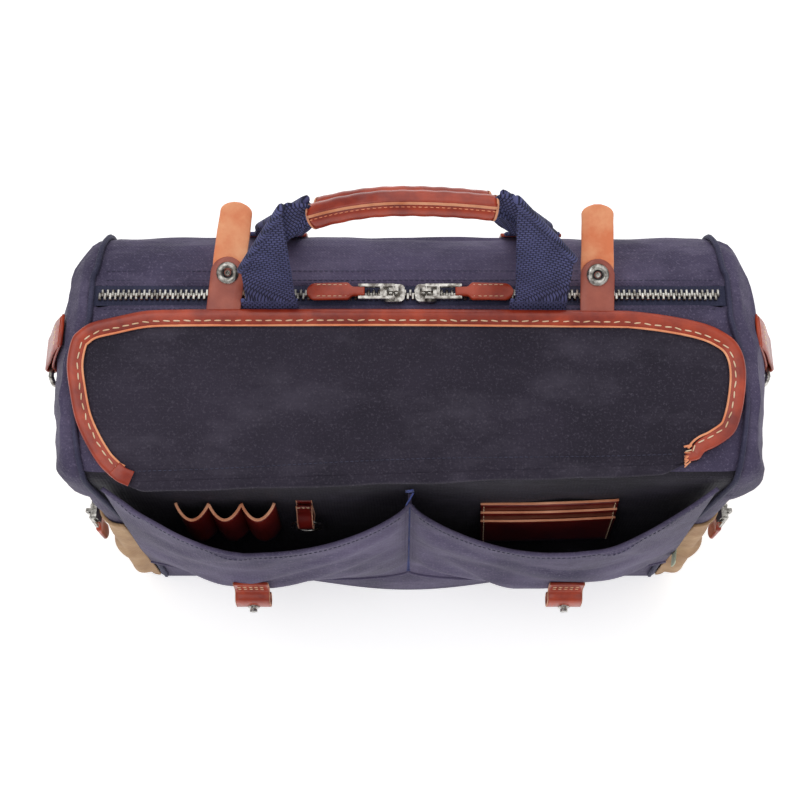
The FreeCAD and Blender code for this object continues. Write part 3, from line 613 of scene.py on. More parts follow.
# ---------------------------------------------------------------- zips
def tooth(verts, faces, place):
    """One zip tooth, its top edges chamfered; place turns (along, across, up) into a point."""
    base = len(verts)
    for up, a, c in ((0.0, 0.95, 2.6), (1.5, 0.95, 2.6), (2.2, 0.6, 2.1)):
        for sa, sc in ((-1, -1), (1, -1), (1, 1), (-1, 1)):
            verts.append(place(sa * a, sc * c, up))
    for level in (0, 4):
        for k in range(4):
            n = (k + 1) % 4
            faces.append((base + level + k, base + level + n, base + level + 4 + n, base + level + 4 + k))
    faces.append((base + 8, base + 9, base + 10, base + 11))


def teeth_row(name, node, start, along_axis, across_axis, up_axis, length):
    """A chain of teeth, alternately from the two sides."""
    verts, faces = [], []
    pitch, k = 1.75, 0
    while k * pitch < length:
        side = 1 if k % 2 else -1
        centre = Vector(start) + Vector(along_axis) * (k * pitch)
        tooth(verts, faces, lambda a, c, u: centre + Vector(along_axis) * a
              + Vector(across_axis) * (c + side * 1.25) + Vector(up_axis) * u)
        k += 1
    return mesh_piece(name, (verts, faces), "bag", NICKEL, [node], shade=False)


def tape_piece(name, node, start, along_axis, across_axis, up_axis, length, half_w):
    def surface(u, v):
        ripple = wrinkle((u * 0.5, v * 4, 0), 30, 0.5)
        return (Vector(start) + Vector(along_axis) * u + Vector(across_axis) * v + Vector(up_axis) * ripple)
    return mesh_piece(
        name, grid(surface, steps(0, length, 120), steps(-half_w, half_w, 6)), "bag", TAPE,
        [node])


def main_zip():
    low, high = mm_box("main_zip_tape")
    face = high.z
    tape_piece("main_zip_woven_tape", "main_zip_tape", (low.x, ZIP_Y, face), (1, 0, 0), (0, 1, 0), (0, 0, 1),
               high.x - low.x, 7.4)
    low, high = mm_box("main_zip_teeth")
    teeth_row("main_zip_chain", "main_zip_teeth", (low.x, ZIP_Y, face + 0.3), (1, 0, 0), (0, 1, 0), (0, 0, 1),
              high.x - low.x)
    for n, y in enumerate((ZIP_Y + 11.5, ZIP_Y + 18.5, ZIP_Y - 10.0)):
        line = [(x, y, TOP_Z + 0.1) for x in steps(-206, 206, 100)]
        stitch_row(f"zip_stitches_{n}", line, (0, 0, 1), "bag", NAVY_THREAD,
                   pitch=3.6, length=2.5, thick=0.55)


# ---------------------------------------------------------------- front pockets and what they hold
def front_sag(x, z):
    """The front bellies forward low down in the middle, where nothing stiffens it."""
    return 12.0 * math.cos(math.pi / 2 * min(abs(x) / BELLY_X, 1.0)) ** 1.5 * (1 - smooth((z - 20) / 80))


def pocket_off(x):
    """How far the pocket panel stands off the wall in plan: a belly in each half."""
    x = abs(x)
    if x <= BELLY_X:
        return lerp(9.5, 35.4, math.sin(math.pi / 2 * x / BELLY_X) ** 0.6)
    return lerp(5.0, 35.0, math.cos(math.pi / 2 * (x - BELLY_X) / (PANEL_SEAM_X - BELLY_X)))


def mouth_z(x):
    """The scooped top edge of the two front pockets."""
    return POCKET_MID_Z - 0.826 * abs(x) + 0.004434 * x * x


def pocket_point(x, z, lift=0.0):
    """A point of the front pockets' panel, with its loose folds."""
    reach = lerp(0.42, 1.0, smooth((z - POCKET_FLOOR_Z) / 52))
    off = pocket_off(x) * reach
    loose = smooth((z - POCKET_FLOOR_Z) / 16) * smooth((mouth_z(x) - z) / 14 + 0.25)
    loose *= smooth((PANEL_SEAM_X - abs(x)) / 22) * smooth(abs(x) / 16)
    fold = wrinkle((x * 0.75 + z * 1.1 * (1 if x > 0 else -1), (x - z) * 0.28, 4), 30, 6.0)
    fold += wrinkle((x, z * 1.5, 9), 46, 2.4)
    inward = min(fold * loose, lerp(2.0, 0.2, smooth((z - 140) / 20)))  # clear of what the pockets hold
    return (x, FRONT_Y - off - front_sag(x, z) + inward - lift, z)


def pocket_panel():
    verts, faces, uvs = grid(
        lambda x, v: pocket_point(x, lerp(POCKET_FLOOR_Z, mouth_z(x), v)),
        steps(-PANEL_SEAM_X, PANEL_SEAM_X, 150), steps(0, 1, 60),
    )
    panel = mesh_piece(
        "front_pocket_canvas", (verts, faces, [(v.x * MM, v.z * MM) for v in verts]), "bag",
        NAVY, ["front_pocket_panel"])
    thicken(panel, 2.0)
    width = steps(-PANEL_SEAM_X, PANEL_SEAM_X, 160)
    for name, line, radii in (
        ("pocket_mouth_hem", [(x, mouth_z(x) - 1.0) for x in width], (1.9, 1.5)),
        ("pocket_floor_seam", [(x, POCKET_FLOOR_Z) for x in width], (2.0, 1.8)),
    ):
        frames = framed([Vector(pocket_point(x, z, -0.6)) for x, z in line], (0, -1, 0))
        mesh_piece(name, sweep(frames, ring_section(*radii, 10)), "bag", NAVY)
    for side, sign in SIDES.items():
        line = [pocket_point(sign * x, mouth_z(x) - 7.5, 0.2) for x in steps(6, 202, 110)]
        stitch_row("pocket_hem_stitches_" + side, line, (0, -1, 0), "bag", NAVY_THREAD,
                   pitch=3.6, length=2.5, thick=0.55)
    pocket_floor()
    thread = []
    for k in range(112):
        z = 60 + k * 1.62
        shape = pocket_point(0, min(z, POCKET_MID_Z - 1), 0.35)
        y = shape[1] if z < POCKET_MID_Z else FRONT_Y - 1.4
        thread.append((2.4 * (1 if k % 2 else -1) + 0.4 * noise.noise(Vector((k, 0, 0))), y, z))
    mesh_piece(
        "centre_bartack", sweep(framed(thread, (0, -1, 0)), ring_section(0.75, 0.6, 6)), "bag",
        BLUE_THREAD)


def pocket_floor():
    """The cloth across the bottom of the two pockets and the web down the middle seam."""
    def floor(x, v):
        return (x, lerp(FRONT_Y, pocket_point(x, POCKET_FLOOR_Z)[1] + 1.0, v), POCKET_FLOOR_Z)
    thicken(mesh_piece(
        "pocket_floor_cloth", grid(floor, steps(-PANEL_SEAM_X, PANEL_SEAM_X, 80), steps(0, 1, 5)), "bag",
        NAVY), 1.5)

    def web(v, z):
        return (0.0, lerp(FRONT_Y, pocket_point(0, z)[1] + 1.0, v), z)
    thicken(mesh_piece(
        "pocket_middle_web", grid(web, steps(0, 1, 4), steps(POCKET_FLOOR_Z, POCKET_MID_Z - 4, 40)), "bag",
        NAVY), 2.4, offset=0)


def raw_strip(name, line, up, width, height):
    """A pale cut edge of leather along a line."""
    return mesh_piece(
        name, sweep(framed(line, up), strip_section(width, height, 0, 0.3)), "bag",
        RAW_EDGE)


def pen_loops():
    low, high = mm_box("pen_loops")
    width = high.x - low.x

    def loop(x, v):
        part = (x - low.x) / width * 3
        out = abs(math.sin(math.pi * part)) ** 0.75
        top = high.z - 3.0 * out + wrinkle((x, 0, 0), 20, 1.2)
        return (x, FRONT_Y - 1.2 - 11.6 * out * lerp(0.9, 1.0, v), lerp(low.z, top, v))
    piece = mesh_piece(
        "pen_loop_leather", grid(loop, steps(low.x, high.x, 84), steps(0, 1, 14)), "bag",
        DARK_TAN, ["pen_loops"])
    thicken(piece, 1.8, offset=0)
    edge = [Vector(loop(x, 1.0)) + Vector((0, 0, -0.2)) for x in steps(low.x, high.x, 100)]
    raw_strip("pen_loop_raw_edge", edge, (0, 0, 1), 2.0, 0.9)
    for n in range(4):
        x = low.x + width * n / 3
        line = [(x, FRONT_Y - 2.4, z) for z in steps(low.z + 2, high.z - 3, 20)]
        stitch_row(f"pen_loop_stitches_{n}", line, (0, -1, 0), "bag", CREAM,
                   pitch=4.2, length=2.6, thick=0.6)


def card_holder():
    """Three stepped card slots, sewn on a little crooked."""
    low, high = mm_box("card_holder")
    tilt, middle = math.radians(5.5), (low.x + high.x) / 2

    def leaned(x, y, z):
        return (x - math.sin(tilt) * (z - high.z) * 0.5, y, z + math.sin(tilt) * (x - middle))
    for n in range(3):
        top = high.z - 3 - 15 * n
        y = FRONT_Y - 0.8 - 1.7 * n

        def layer(x, v):
            bow = -0.9 * math.sin(math.pi * (x - low.x) / (high.x - low.x)) * v
            return leaned(x, y + bow, lerp(low.z, top, v) + wrinkle((x, n * 30, 0), 30, 0.5) * v)
        piece = mesh_piece(
            f"card_slot_{n + 1}", grid(layer, steps(low.x, high.x, 40), steps(0, 1, 12)), "bag",
            DARK_TAN, ["card_holder"] if n == 0 else ())
        thicken(piece, 1.4, offset=0)
        edge = [Vector(layer(x, 1.0)) + Vector((0, 0, -0.2)) for x in steps(low.x, high.x, 40)]
        raw_strip(f"card_slot_raw_edge_{n + 1}", edge, (0, 0, 1), 1.7, 0.8)
    for x, tag in ((low.x + 2.2, "left"), (high.x - 2.2, "right")):
        line = [leaned(x, FRONT_Y - 5.6, z) for z in steps(low.z + 2, high.z - 34, 20)]
        line += [leaned(x, FRONT_Y - 2.0, z) for z in steps(high.z - 16, high.z - 5, 6)]
        stitch_row("card_slot_stitches_" + tag, line, (0, -1, 0), "bag", CREAM,
                   pitch=4.4, length=2.8, thick=0.6)


def key_leash():
    """A narrow leather loop that hangs on the front wall and carries the key ring."""
    low, high = mm_box("key_leash")
    x, y = (low.x + high.x) / 2, low.y + 4.4
    line = curve_points(
        [(x, FRONT_Y - 1.0, high.z), (x, FRONT_Y - 1.6, high.z - 14), (x + 0.6, y + 3.4, low.z + 10),
         (x + 0.4, y + 3.2, low.z + 4), (x, y, low.z + 0.6), (x, y - 3.6, low.z + 4),
         (x - 0.3, y - 2.2, low.z + 11),
         (x - 0.4, FRONT_Y - 3.6, low.z + 19), (x, FRONT_Y - 3.0, high.z - 4)], 60)
    frames = ribbon(line, (1, 0, 0))
    mesh_piece(
        "key_leash_leather", sweep(frames, strip_section(10.5, 1.7)), "bag",
        DARK_TAN, ["key_leash"])
    for side in (-1, 1):
        edge = [f[0] + f[1] * side * 5.3 + f[2] * 0.1 for f in frames]
        mesh_piece(
            f"key_leash_raw_edge_{'right' if side > 0 else 'left'}",
            sweep([(p, f[1], f[2]) for p, f in zip(edge, frames)], strip_section(0.9, 1.6, 0, 0.3)),
            "bag", RAW_EDGE)
    hold = [(x - 5.5, FRONT_Y - 4.6, high.z - 4.5), (x + 5.5, FRONT_Y - 4.6, high.z - 4.5)]
    stitch_row("key_leash_stitches", hold, (0, -1, 0), "bag", CREAM, 3.4, 2.4, 0.6)


def stud_tabs():
    """Two doubled leather tabs on the pockets, with their studs."""
    for side in SIDES:
        low, high = mm_box("stud_tab_" + side)
        x, back, out = (low.x + high.x) / 2, high.y, low.y
        line = curve_points(
            [(x, back - 0.6, high.z), (x, back - 0.8, high.z - 13), (x, back - 3.0, high.z - 17.5),
             (x, out + 2.6, high.z - 20), (x, out + 1.0, high.z - 25), (x, out + 0.9, low.z + 6),
             (x, out + 2.6, low.z + 1.6), (x, back - 4, low.z + 1.0), (x, back - 1.2, low.z + 5),
             (x, back - 0.6, low.z + 9)], 70)
        frames = ribbon(line, (1, 0, 0))
        mesh_piece(
            "stud_tab_leather_" + side, sweep(frames, strip_section(26, 2.2, -1.1, 0.7)), "bag",
            TAN, ["stud_tab_" + side])
        for n, drop in enumerate((4.5, 10.0)):
            row = [(x - 11 + 22 * t, back - 2.2, high.z - drop) for t in steps(0, 1, 8)]
            stitch_row(f"stud_tab_stitches_{side}_{n}", row, (0, -1, 0), "bag", CREAM,
                       pitch=4.2, length=2.8, thick=0.7)
        for edge_side in (-1, 1):
            edge = [(p + Vector((edge_side * 12.9, 0, 0)), a, u) for p, a, u in frames]
            mesh_piece(
                f"stud_tab_raw_edge_{side}_{'b' if edge_side > 0 else 'a'}",
                sweep(edge, strip_section(0.7, 2.0, -1.0, 0.25)), "bag",
                RAW_EDGE)


# ---------------------------------------------------------------- flap and straps
HINGE = joint_place("flap_fold")
STRAP_LINE = joint_place("strap_bend_left")
FLAP_REACH = math.hypot(STRAP_LINE.y - 1.6 - HINGE.y, STRAP_LINE.z - 1.0 - HINGE.z)
FLAP_TILT = math.atan2(STRAP_LINE.z - 1.0 - HINGE.z, STRAP_LINE.y - 1.6 - HINGE.y)
FLAP_WIDE_W = 227.0
FLAP_LEFT = [  # the left edge, from the hinge line to the far edge: x and the distance from the hinge line
    (-193, -3), (-197, -1), (-201, 2.5), (-207, 9), (-215, 22), (-222, 38), (-226, 57), (-228, 75),
    (-225, 91), (-220, 97), (-212, 102), (-197, 105.5), (-175, 109.5), (-148, 110),
]
FLAP_RIGHT = [
    (183, 9), (191, 11), (195, 16), (203, 20), (214, 28), (219, 39), (222, 54), (223, 69), (221, 81),
    (216, 90), (208, 96), (198, 100.5), (184, 104), (165, 107), (145, 109),
]
FLAP_AHEAD = Vector((0, math.cos(FLAP_TILT), math.sin(FLAP_TILT)))
FLAP_UP = Vector((0, -math.sin(FLAP_TILT), math.cos(FLAP_TILT)))


def flap_sides(count):
    """The left and right edges as smooth runs of (x, d) from the hinge to the far edge."""
    runs = []
    for corners in (FLAP_LEFT, FLAP_RIGHT):
        line = curve_points([(x, d, 0) for x, d in corners], count)
        runs.append([(p.x, p.y) for p in line])
    return runs


def flap_place(x, d, lift=0.0):
    """A point of the flap, d from the hinge, with its soft waves."""
    wave = wrinkle((x, d * 1.4, 3), 80, 2.2) * smooth(d / 30)
    wave += 1.5 * math.exp(-((x - 205) / 18) ** 2) * smooth(1 - d / 60)
    droop = -1.4 * (x / FLAP_WIDE_W) ** 2 * smooth(d / 60)
    bow = 1.6 * (1 - (x / FLAP_WIDE_W) ** 2) * smooth(d / FLAP_REACH) if d > 50 else 0.0
    spot = HINGE + FLAP_AHEAD * (d + bow) + FLAP_UP * (wave + droop + 1.2 + lift)
    return Vector((x, spot.y, spot.z))


def edge_heading(line, i):
    """The unit direction of a line of (x, d) at its point i."""
    (ax, ad), (bx, bd) = line[max(i - 1, 0)], line[min(i + 1, len(line) - 1)]
    run = math.hypot(bx - ax, bd - ad) or 1.0
    return (bx - ax) / run, (bd - ad) / run


def flap_outline(inset=0.0):
    """The bound edge: from the hinge up the left side, along the far edge and down the right side."""
    left, right = flap_sides(78)
    (ax, ad), (bx, bd) = left[-1], right[-1]
    far = [(lerp(ax, bx, t), lerp(ad, bd, t)) for t in steps(0, 1, 130)[1:-1]]
    line = left + far + list(reversed(right))
    if not inset:
        return line
    moved = []
    for i, (x, d) in enumerate(line):
        head_x, head_d = edge_heading(line, i)
        moved.append((x + head_d * inset, d - head_x * inset))
    return moved


def flap_panel():
    left, right = flap_sides(60)

    def cloth(u, k):
        (ax, ad), (bx, bd) = left[k], right[k]
        return flap_place(lerp(ax + 1.0, bx - 1.0, u), lerp(ad, bd, u) - 0.8)
    verts, faces, uvs = grid(cloth, steps(0, 1, 150), range(61))
    uvs = [(v.x * MM, (v - HINGE).dot(FLAP_AHEAD) * MM) for v in verts]
    panel = mesh_piece("flap_canvas", (verts, faces, uvs), "flap", LINING, ["flap_panel"])
    thicken(panel, 2.2)
    flat_area(flap_outline())
    hem = []
    for u in steps(0.03, 0.98, 120):
        x, d = root_line(u)
        hem.append(flap_place(x, d + 8.0 + 1.2 * math.cos(x / 50), 0.3))
    stitch_row("flap_root_stitches", hem, FLAP_UP, "flap", NAVY_THREAD,
               pitch=3.4, length=2.4, thick=0.6)


def flat_area(outline):
    """Area in square metres inside a (x, d) outline."""
    total = sum(a[0] * b[1] - b[0] * a[1] for a, b in zip(outline, outline[1:] + outline[:1]))
    return abs(total) / 2 * MM * MM


def root_line(u):
    """The near edge of the flap's cloth, u from its left end to its right end: x and d."""
    (left_x, left_d), (right_x, right_d) = FLAP_LEFT[0], FLAP_RIGHT[0]
    return lerp(left_x + 1, right_x - 1, u), lerp(left_d, right_d, u) - 0.8


def flap_root():
    """The fold that carries the flap's cloth over the hinge line and down to the front wall."""
    nose = [  # how the fold's section runs on from the flap's edge: y and z
        (0, 0), (-2.6, -0.2), (-5.2, -1.4), (-6.9, -4.0), (-7.2, -7.4), (-6.0, -10.8), (-3.6, -14.0),
        (0, -17.0),
    ]

    def roll(u, v):
        t = v * (len(nose) - 1)
        k = min(int(t), len(nose) - 2)
        dy, dz = (lerp(nose[k][i], nose[k + 1][i], t - k) for i in (0, 1))
        x, d = root_line(u)
        swell = (1 + wrinkle((x, v * 20, 1), 40, 0.18) * smooth(v * 2)) * smooth(min(u, 1 - u) / 0.05 + 0.12)
        spot = flap_place(x, d) + Vector((0, dy * swell, dz * swell))
        wall = along(FRONT_LINE, spot.z) + 0.8
        return (x, lerp(spot.y, wall, smooth((v - 0.35) / 0.65)), spot.z)
    piece = mesh_piece(
        "flap_root_canvas", grid(roll, steps(0, 1, 150), steps(1, 0, 24)), "bag", LINING)
    piece.parent = None
    thicken(piece, 2.2)
    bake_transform(piece)


def binding_section(left):
    """The folded leather edge: a full outer roll and a thin inner lip, in (outward, up); left to the end."""
    slim = lerp(0.62, 1.0, smooth(left / 22))
    shape = [(1.6, 0.2), (1.2, 1.9), (-0.6, 3.2), (-3.4, 3.4), (-6.8, 2.6), (-10.6, 2.1), (-11.4, 1.6),
             (-11.2, 0.7), (-10.4, -2.9), (-6.8, -3.4), (-3.4, -4.2), (-0.6, -4.0), (1.2, -2.6), (1.6, -1.0)]
    return [(outward * slim * 0.86 - 1.4, up) for outward, up in shape]


def flap_binding():
    """The folded leather round the flap, its raw edge, stitches, end tab and frayed end."""
    outer = flap_outline()
    path = []
    for i, (x, d) in enumerate(outer):
        head_x, head_d = edge_heading(outer, i)
        out = Vector((-head_d, 0, 0)) + FLAP_AHEAD * head_x
        path.append((flap_place(x, d, wrinkle((x, d, 0), 26, 0.5)), out, FLAP_UP))
    binding = mesh_piece(
        "flap_edge_binding", sweep(path, lambda i: binding_section(len(path) - 1 - i)), "flap",
        TAN, ["flap_binding"])
    binding.modifiers.new("finer", "SUBSURF").render_levels = 1
    edge = []
    for i, (x, d) in enumerate(flap_outline(10.9)):
        shift, lift = 0.5 * noise.noise(Vector((i, 0, 7))), 2.1 + 0.3 * noise.noise(Vector((i, 4, 0)))
        edge.append(flap_place(x + shift, d, lift))
    mesh_piece(
        "binding_raw_edge", sweep(framed(edge, FLAP_UP), ring_section(0.75, 0.6, 7)), "flap",
        SUEDE)
    line = [flap_place(x, d, 2.75) for x, d in flap_outline(7.8)]
    stitch_row("binding_stitches", line, FLAP_UP, "flap", CREAM,
               pitch=6.8, length=4.7, thick=0.95, wobble=0.4)
    cap = [flap_place(-195, 5.5, 3.6), flap_place(-190.5, 1.5, 3.8), flap_place(-184, -1.5, 2.6)]
    mesh_piece(
        "binding_end_tab",
        sweep(framed(curve_points(cap, 16), FLAP_UP), strip_section(10.5, 1.9, -0.9)), "flap",
        TAN)
    frays = []
    for k in range(9):
        start = flap_place(outer[-1][0] + 2.0, outer[-1][1] + 0.6 + k * 0.75, 2.2)
        tip = start + Vector((-4 - 3 * noise.noise(Vector((k, 1, 0))), 0, 0))
        tip -= FLAP_AHEAD * (2 + 2.5 * math.sin(k * 2.1))
        fray = curve_points((start, (start + tip) / 2 + FLAP_UP * 0.8, tip), 6)
        frays.append(sweep(framed(fray, FLAP_UP), ring_section(0.4, 0.35, 5)))
    mesh_piece("binding_frayed_threads", joined(*frays)[:2], "flap", SUEDE)


STRAP_START = -2.2  # the free strap begins a little before its hinge line
SNAP_PARTS = (  # each turned about the snap's axis: (radius, height)
    ("ring", NICKEL, [(7.4, -0.4), (7.4, 0.9), (6.6, 1.7), (4.4, 1.9), (3.4, 1.2), (3.3, -0.4)]),
    # the well is drawn in the metal with painted shade
    ("well", METAL_PAINTED_SHADE, [(3.5, 0.2), (2.4, 0.3), (2.1, -0.2), (0.02, -0.3)]),
    ("eye", NICKEL, [(1.9, 0.0), (1.8, 0.9), (1.1, 1.1), (0.8, 0.4), (0.02, 0.3)]),
)


def rounded_end(left, radius, least):
    """How much of its width a strip keeps at a distance left from its rounded end."""
    return math.sqrt(max(1 - (1 - left / radius) ** 2, least)) if left < radius else 1.0


def closing_straps():
    """Each strap: the sewn part on the flap, the free part with its backing, and the snap."""
    for side, sign in SIDES.items():
        body = "strap_" + side
        low, high = mm_box(body)
        pivot = joint_place("strap_bend_" + side)
        socket_low, socket_high = mm_box("snap_socket_" + side)
        snap = (socket_low + socket_high) / 2
        snap_x = snap.x - pivot.x
        rise = math.atan2(high.z - pivot.z - 3, high.y - pivot.y - 1)
        reach = math.hypot(high.z - pivot.z - 3, high.y - pivot.y - 1)
        lean = snap_x / max(math.hypot(snap.y - pivot.y, snap.z - pivot.z), 1)
        up = Vector((0, -math.sin(rise), math.cos(rise)))

        def centre(d):
            lift = 1.4 * math.sin(math.pi * smooth(d / reach)) + wrinkle((d, sign * 40, 0), 30, 0.7)
            run, climb = math.cos(rise) * d, math.sin(rise) * d
            return Vector((pivot.x + lean * d, pivot.y + run, pivot.z - 1.4 + climb)) + up * lift
        line = [centre(d) for d in steps(STRAP_START, reach, 60)]
        frames = framed(line, up)

        def section(i):
            d = lerp(STRAP_START, reach, i / 60)
            w = 21.5 + wrinkle((d, sign * 9, 2), 14, 0.9)
            w *= rounded_end(reach - d, 7.0, 0.05)
            return strip_section(w, 2.4, -0.6, 0.8)
        mesh_piece(
            "strap_flesh_" + side, sweep(frames, section), body, SUEDE, ["strap_" + side])
        back_reach = math.hypot(snap.y - pivot.y, snap.z - pivot.z) + 10.5

        def backing(i):
            w = 22.5 * rounded_end(back_reach - lerp(STRAP_START, back_reach, i / 40), 11.0, 0.03)
            return strip_section(w, 1.7, 1.8, 0.6)
        frames = framed([centre(d) for d in steps(STRAP_START, back_reach, 40)], up)
        mesh_piece("strap_backing_" + side, sweep(frames, backing), body, SMOOTH_TAN)
        spot = centre(back_reach - 10.5) + up * 3.4
        for name, metal_kind, outline in SNAP_PARTS:
            stands_for = ["snap_socket_" + side] if name == "ring" else ()
            turned_piece(f"snap_{name}_{side}", spot, up, outline, body, metal_kind, stands_for)
        low, high = mm_box("strap_base_" + side)
        x = (low.x + high.x) / 2
        line = [flap_place(x, d, -5.4) for d in steps(FLAP_REACH - 66, FLAP_REACH - 4, 20)]
        mesh_piece(
            "strap_sewn_part_" + side,
            sweep(framed(line, FLAP_UP), strip_section(21, 2.2, -1.0)), "flap",
            SMOOTH_TAN, ["strap_base_" + side])


def turned_piece(name, spot, axis, outline, body, material, stands_for=()):
    """A lathe-turned piece: (radius, height) points spun about an axis."""
    count = 36
    axis = Vector(axis).normalized()
    side = axis.orthogonal().normalized()
    other = axis.cross(side)
    verts, faces = [], []
    for k in range(count):
        a = 2 * math.pi * k / count
        out = side * math.cos(a) + other * math.sin(a)
        verts += [Vector(spot) + out * r + axis * h for r, h in outline]
    n = len(outline)
    for k in range(count):
        m = (k + 1) % count
        for i in range(n - 1):
            faces.append((k * n + i, m * n + i, m * n + i + 1, k * n + i + 1))
    return mesh_piece(name, (verts, faces), body, material, stands_for)


# ---------------------------------------------------------------- handles
def handle_leg(name, side, spine):
    """Webbing that rises flat, folds over along a slanting line and runs behind itself into the grip."""
    sign, body = SIDES[side], name + "_handle"
    facing = -1 if name == "front" else 1
    straight, lean, tip, sag = {"front_left": (37, 16, 12.5, 4), "front_right": (50, 23, 12.5, 4)}.get(
        f"{name}_{side}", (26, 29, 8.0, 15))
    wide = {"front_left": 15.0, "front_right": 17.5}.get(f"{name}_{side}", 9.0)
    low, _ = mm_box(body + "_webbing")
    base = Vector((HANDLE_X + sign * LEG_X, joint_place(body + "_swing").y, low.z - 1.0))
    entry = spine(sign * 0.97)
    apex = Vector((base.x - sign * lean, entry.y + facing * 2.2, entry.z + tip))
    turn = straight / (apex.z - base.z)
    corner = Vector((base.x + sign * wide, lerp(base.y, apex.y, turn), base.z + straight))
    near, out = (17.5, 15.0) if sign < 0 else (15.5, 18.5)
    inner, outer = base - Vector((sign * near, 0, 0)), base + Vector((sign * out, 0, 0))

    def flat(u, v):
        """u from the inner to the outer edge, v from the seam to the tip of the fold."""
        edge = outer.lerp(corner, v / turn) if v < turn else corner.lerp(apex, (v - turn) / (1 - turn))
        spot = inner.lerp(apex, v).lerp(edge, u)
        bow = 1.6 * math.sin(math.pi * u) * smooth(v * 2)
        bow += wrinkle((spot.x, spot.z, 2), 30, 1.3) * smooth(v * 3)
        return spot + Vector((0, facing * bow * (1 - v), 0))

    def behind(a, t):
        """a from the fold into the grip, t from the fold's lower end to its tip."""
        gather = entry + Vector((0, 0, lerp(-5.6, 5.6, t)))
        spot = corner.lerp(apex, t).lerp(gather, min(a, 1.0))
        if a > 1:
            spot += (spine(sign * 0.8) - entry) * (a - 1) * 4
        back = 3.4 * smooth(a / 0.2) * (1 - smooth((a - 0.7) / 0.3))
        back += 3.6 * math.sin(math.pi * t) * smooth((a - 0.4) / 0.6)
        back += wrinkle((spot.x, spot.z, 9), 22, 1.5) * smooth(a * 3) * (1 - smooth((a - 0.6) / 0.3))
        return spot + Vector((0, -facing * max(back, 0.0), -sag * math.sin(math.pi * min(a, 1)) * (1 - t)))
    verts, faces, uvs = grid(flat, steps(0, 1, 16), steps(0, 0.985, 44))
    uvs = [((v - inner).dot(Vector((1, 0, 0))) * MM, (v - inner).length * MM) for v in verts]
    more, more_faces, _ = grid(behind, steps(0, 1.25, 34), steps(0, 1, 16))
    behind_x, behind_y = Vector((0.7 * sign, 0, 0.7)), Vector((-sign, 0, 0.4))
    more_uvs = [((v - corner).dot(behind_x) * MM, (v - corner).dot(behind_y) * MM) for v in more]
    roll = [corner.lerp(apex, t) - Vector((0, facing * 0.4, 0)) for t in steps(0, 1, 24)]
    edge, edge_faces, _ = sweep(framed(roll, (0, facing, 0)), ring_section(1.5, 1.9, 8))
    edge_uvs = [((v - corner).x * MM, (v - corner).z * MM) for v in edge]
    leg_shape = joined((verts, faces, uvs), (more, more_faces, more_uvs), (edge, edge_faces, edge_uvs))
    stands_for = [body + "_webbing"] if sign > 0 else ()
    leg = mesh_piece(f"{name}_webbing_{side}", leg_shape, body, WEBBING, stands_for)
    thicken(leg, 2.3, offset=0)


def handle(name):
    """Two webbing legs and the leather wrap of the grip with its overlapped seam."""
    body = name + "_handle"
    low, high = mm_box(body + "_grip")
    grip = Vector(((low.x + high.x) / 2, (low.y + high.y) / 2, 0))
    half = (high.x - low.x) / 2 - 4.2
    mid_z = high.z - 8.0
    end_z = {-1: low.z + 8.6, 1: low.z + (18.6 if name == "front" else 15.6)}

    def spine(t):
        """The grip's centre line, t from -1 to 1."""
        return Vector((grip.x + half * t, grip.y, mid_z - (mid_z - end_z[1 if t > 0 else -1]) * t * t))
    for side in SIDES:
        handle_leg(name, side, spine)

    def wrap_section(i):
        """A soft tube with the leather's overlapped edge standing along its front."""
        out = []
        squeeze = 1 + 0.02 * math.sin(i * 0.9)
        for k in range(40):
            a = 2 * math.pi * k / 40
            r = 7.7 * squeeze
            r += 1.0 * math.exp(-((a - 1.2) / 0.16) ** 2) - 0.8 * math.exp(-((a - 0.92) / 0.12) ** 2)
            out.append((r * math.cos(a), r * math.sin(a)))
        return out
    ahead_of = Vector((0, -1, 0))
    path, edge, rows, faced = [], [], [], []
    for t in steps(-0.995, 0.995, 60):
        along_grip = (spine(t + 0.01) - spine(t - 0.01)).normalized()
        over = ahead_of.cross(along_grip)
        over = over.normalized() * (1 if over.z > 0 else -1)
        path.append((spine(t), ahead_of, over))
        edge.append(spine(t) + ahead_of * 8.3 * math.cos(1.03) + over * 8.3 * math.sin(1.03))
        rows.append(spine(t) + ahead_of * 7.9 * math.cos(0.76) + over * 7.9 * math.sin(0.76))
        faced.append(ahead_of * math.cos(0.76) + over * math.sin(0.76))
    mesh_piece(f"{name}_grip_wrap", sweep(path, wrap_section), body, TAN, [body + "_grip"])
    mesh_piece(
        f"{name}_grip_raw_edge", sweep(framed(edge, (0, -0.5, 0.8)), ring_section(0.85, 0.6, 8)),
        body, RAW_EDGE)
    stitch_row(f"{name}_grip_stitches", rows, faced, body, SUEDE, 3.4, 2.1, 0.45)
    for side, sign in SIDES.items():
        rim = [(7.9, -0.6), (7.9, 0.5), (7.3, 1.1), (5.8, 1.0), (5.6, -0.6)]
        turned_piece(f"{name}_grip_end_{side}", spine(sign), (spine(sign) - spine(sign * 0.96)), rim, body,
                     RAW_EDGE)


WEB_SECTION = strip_section(38, 2.4, -1.2, 0.8)


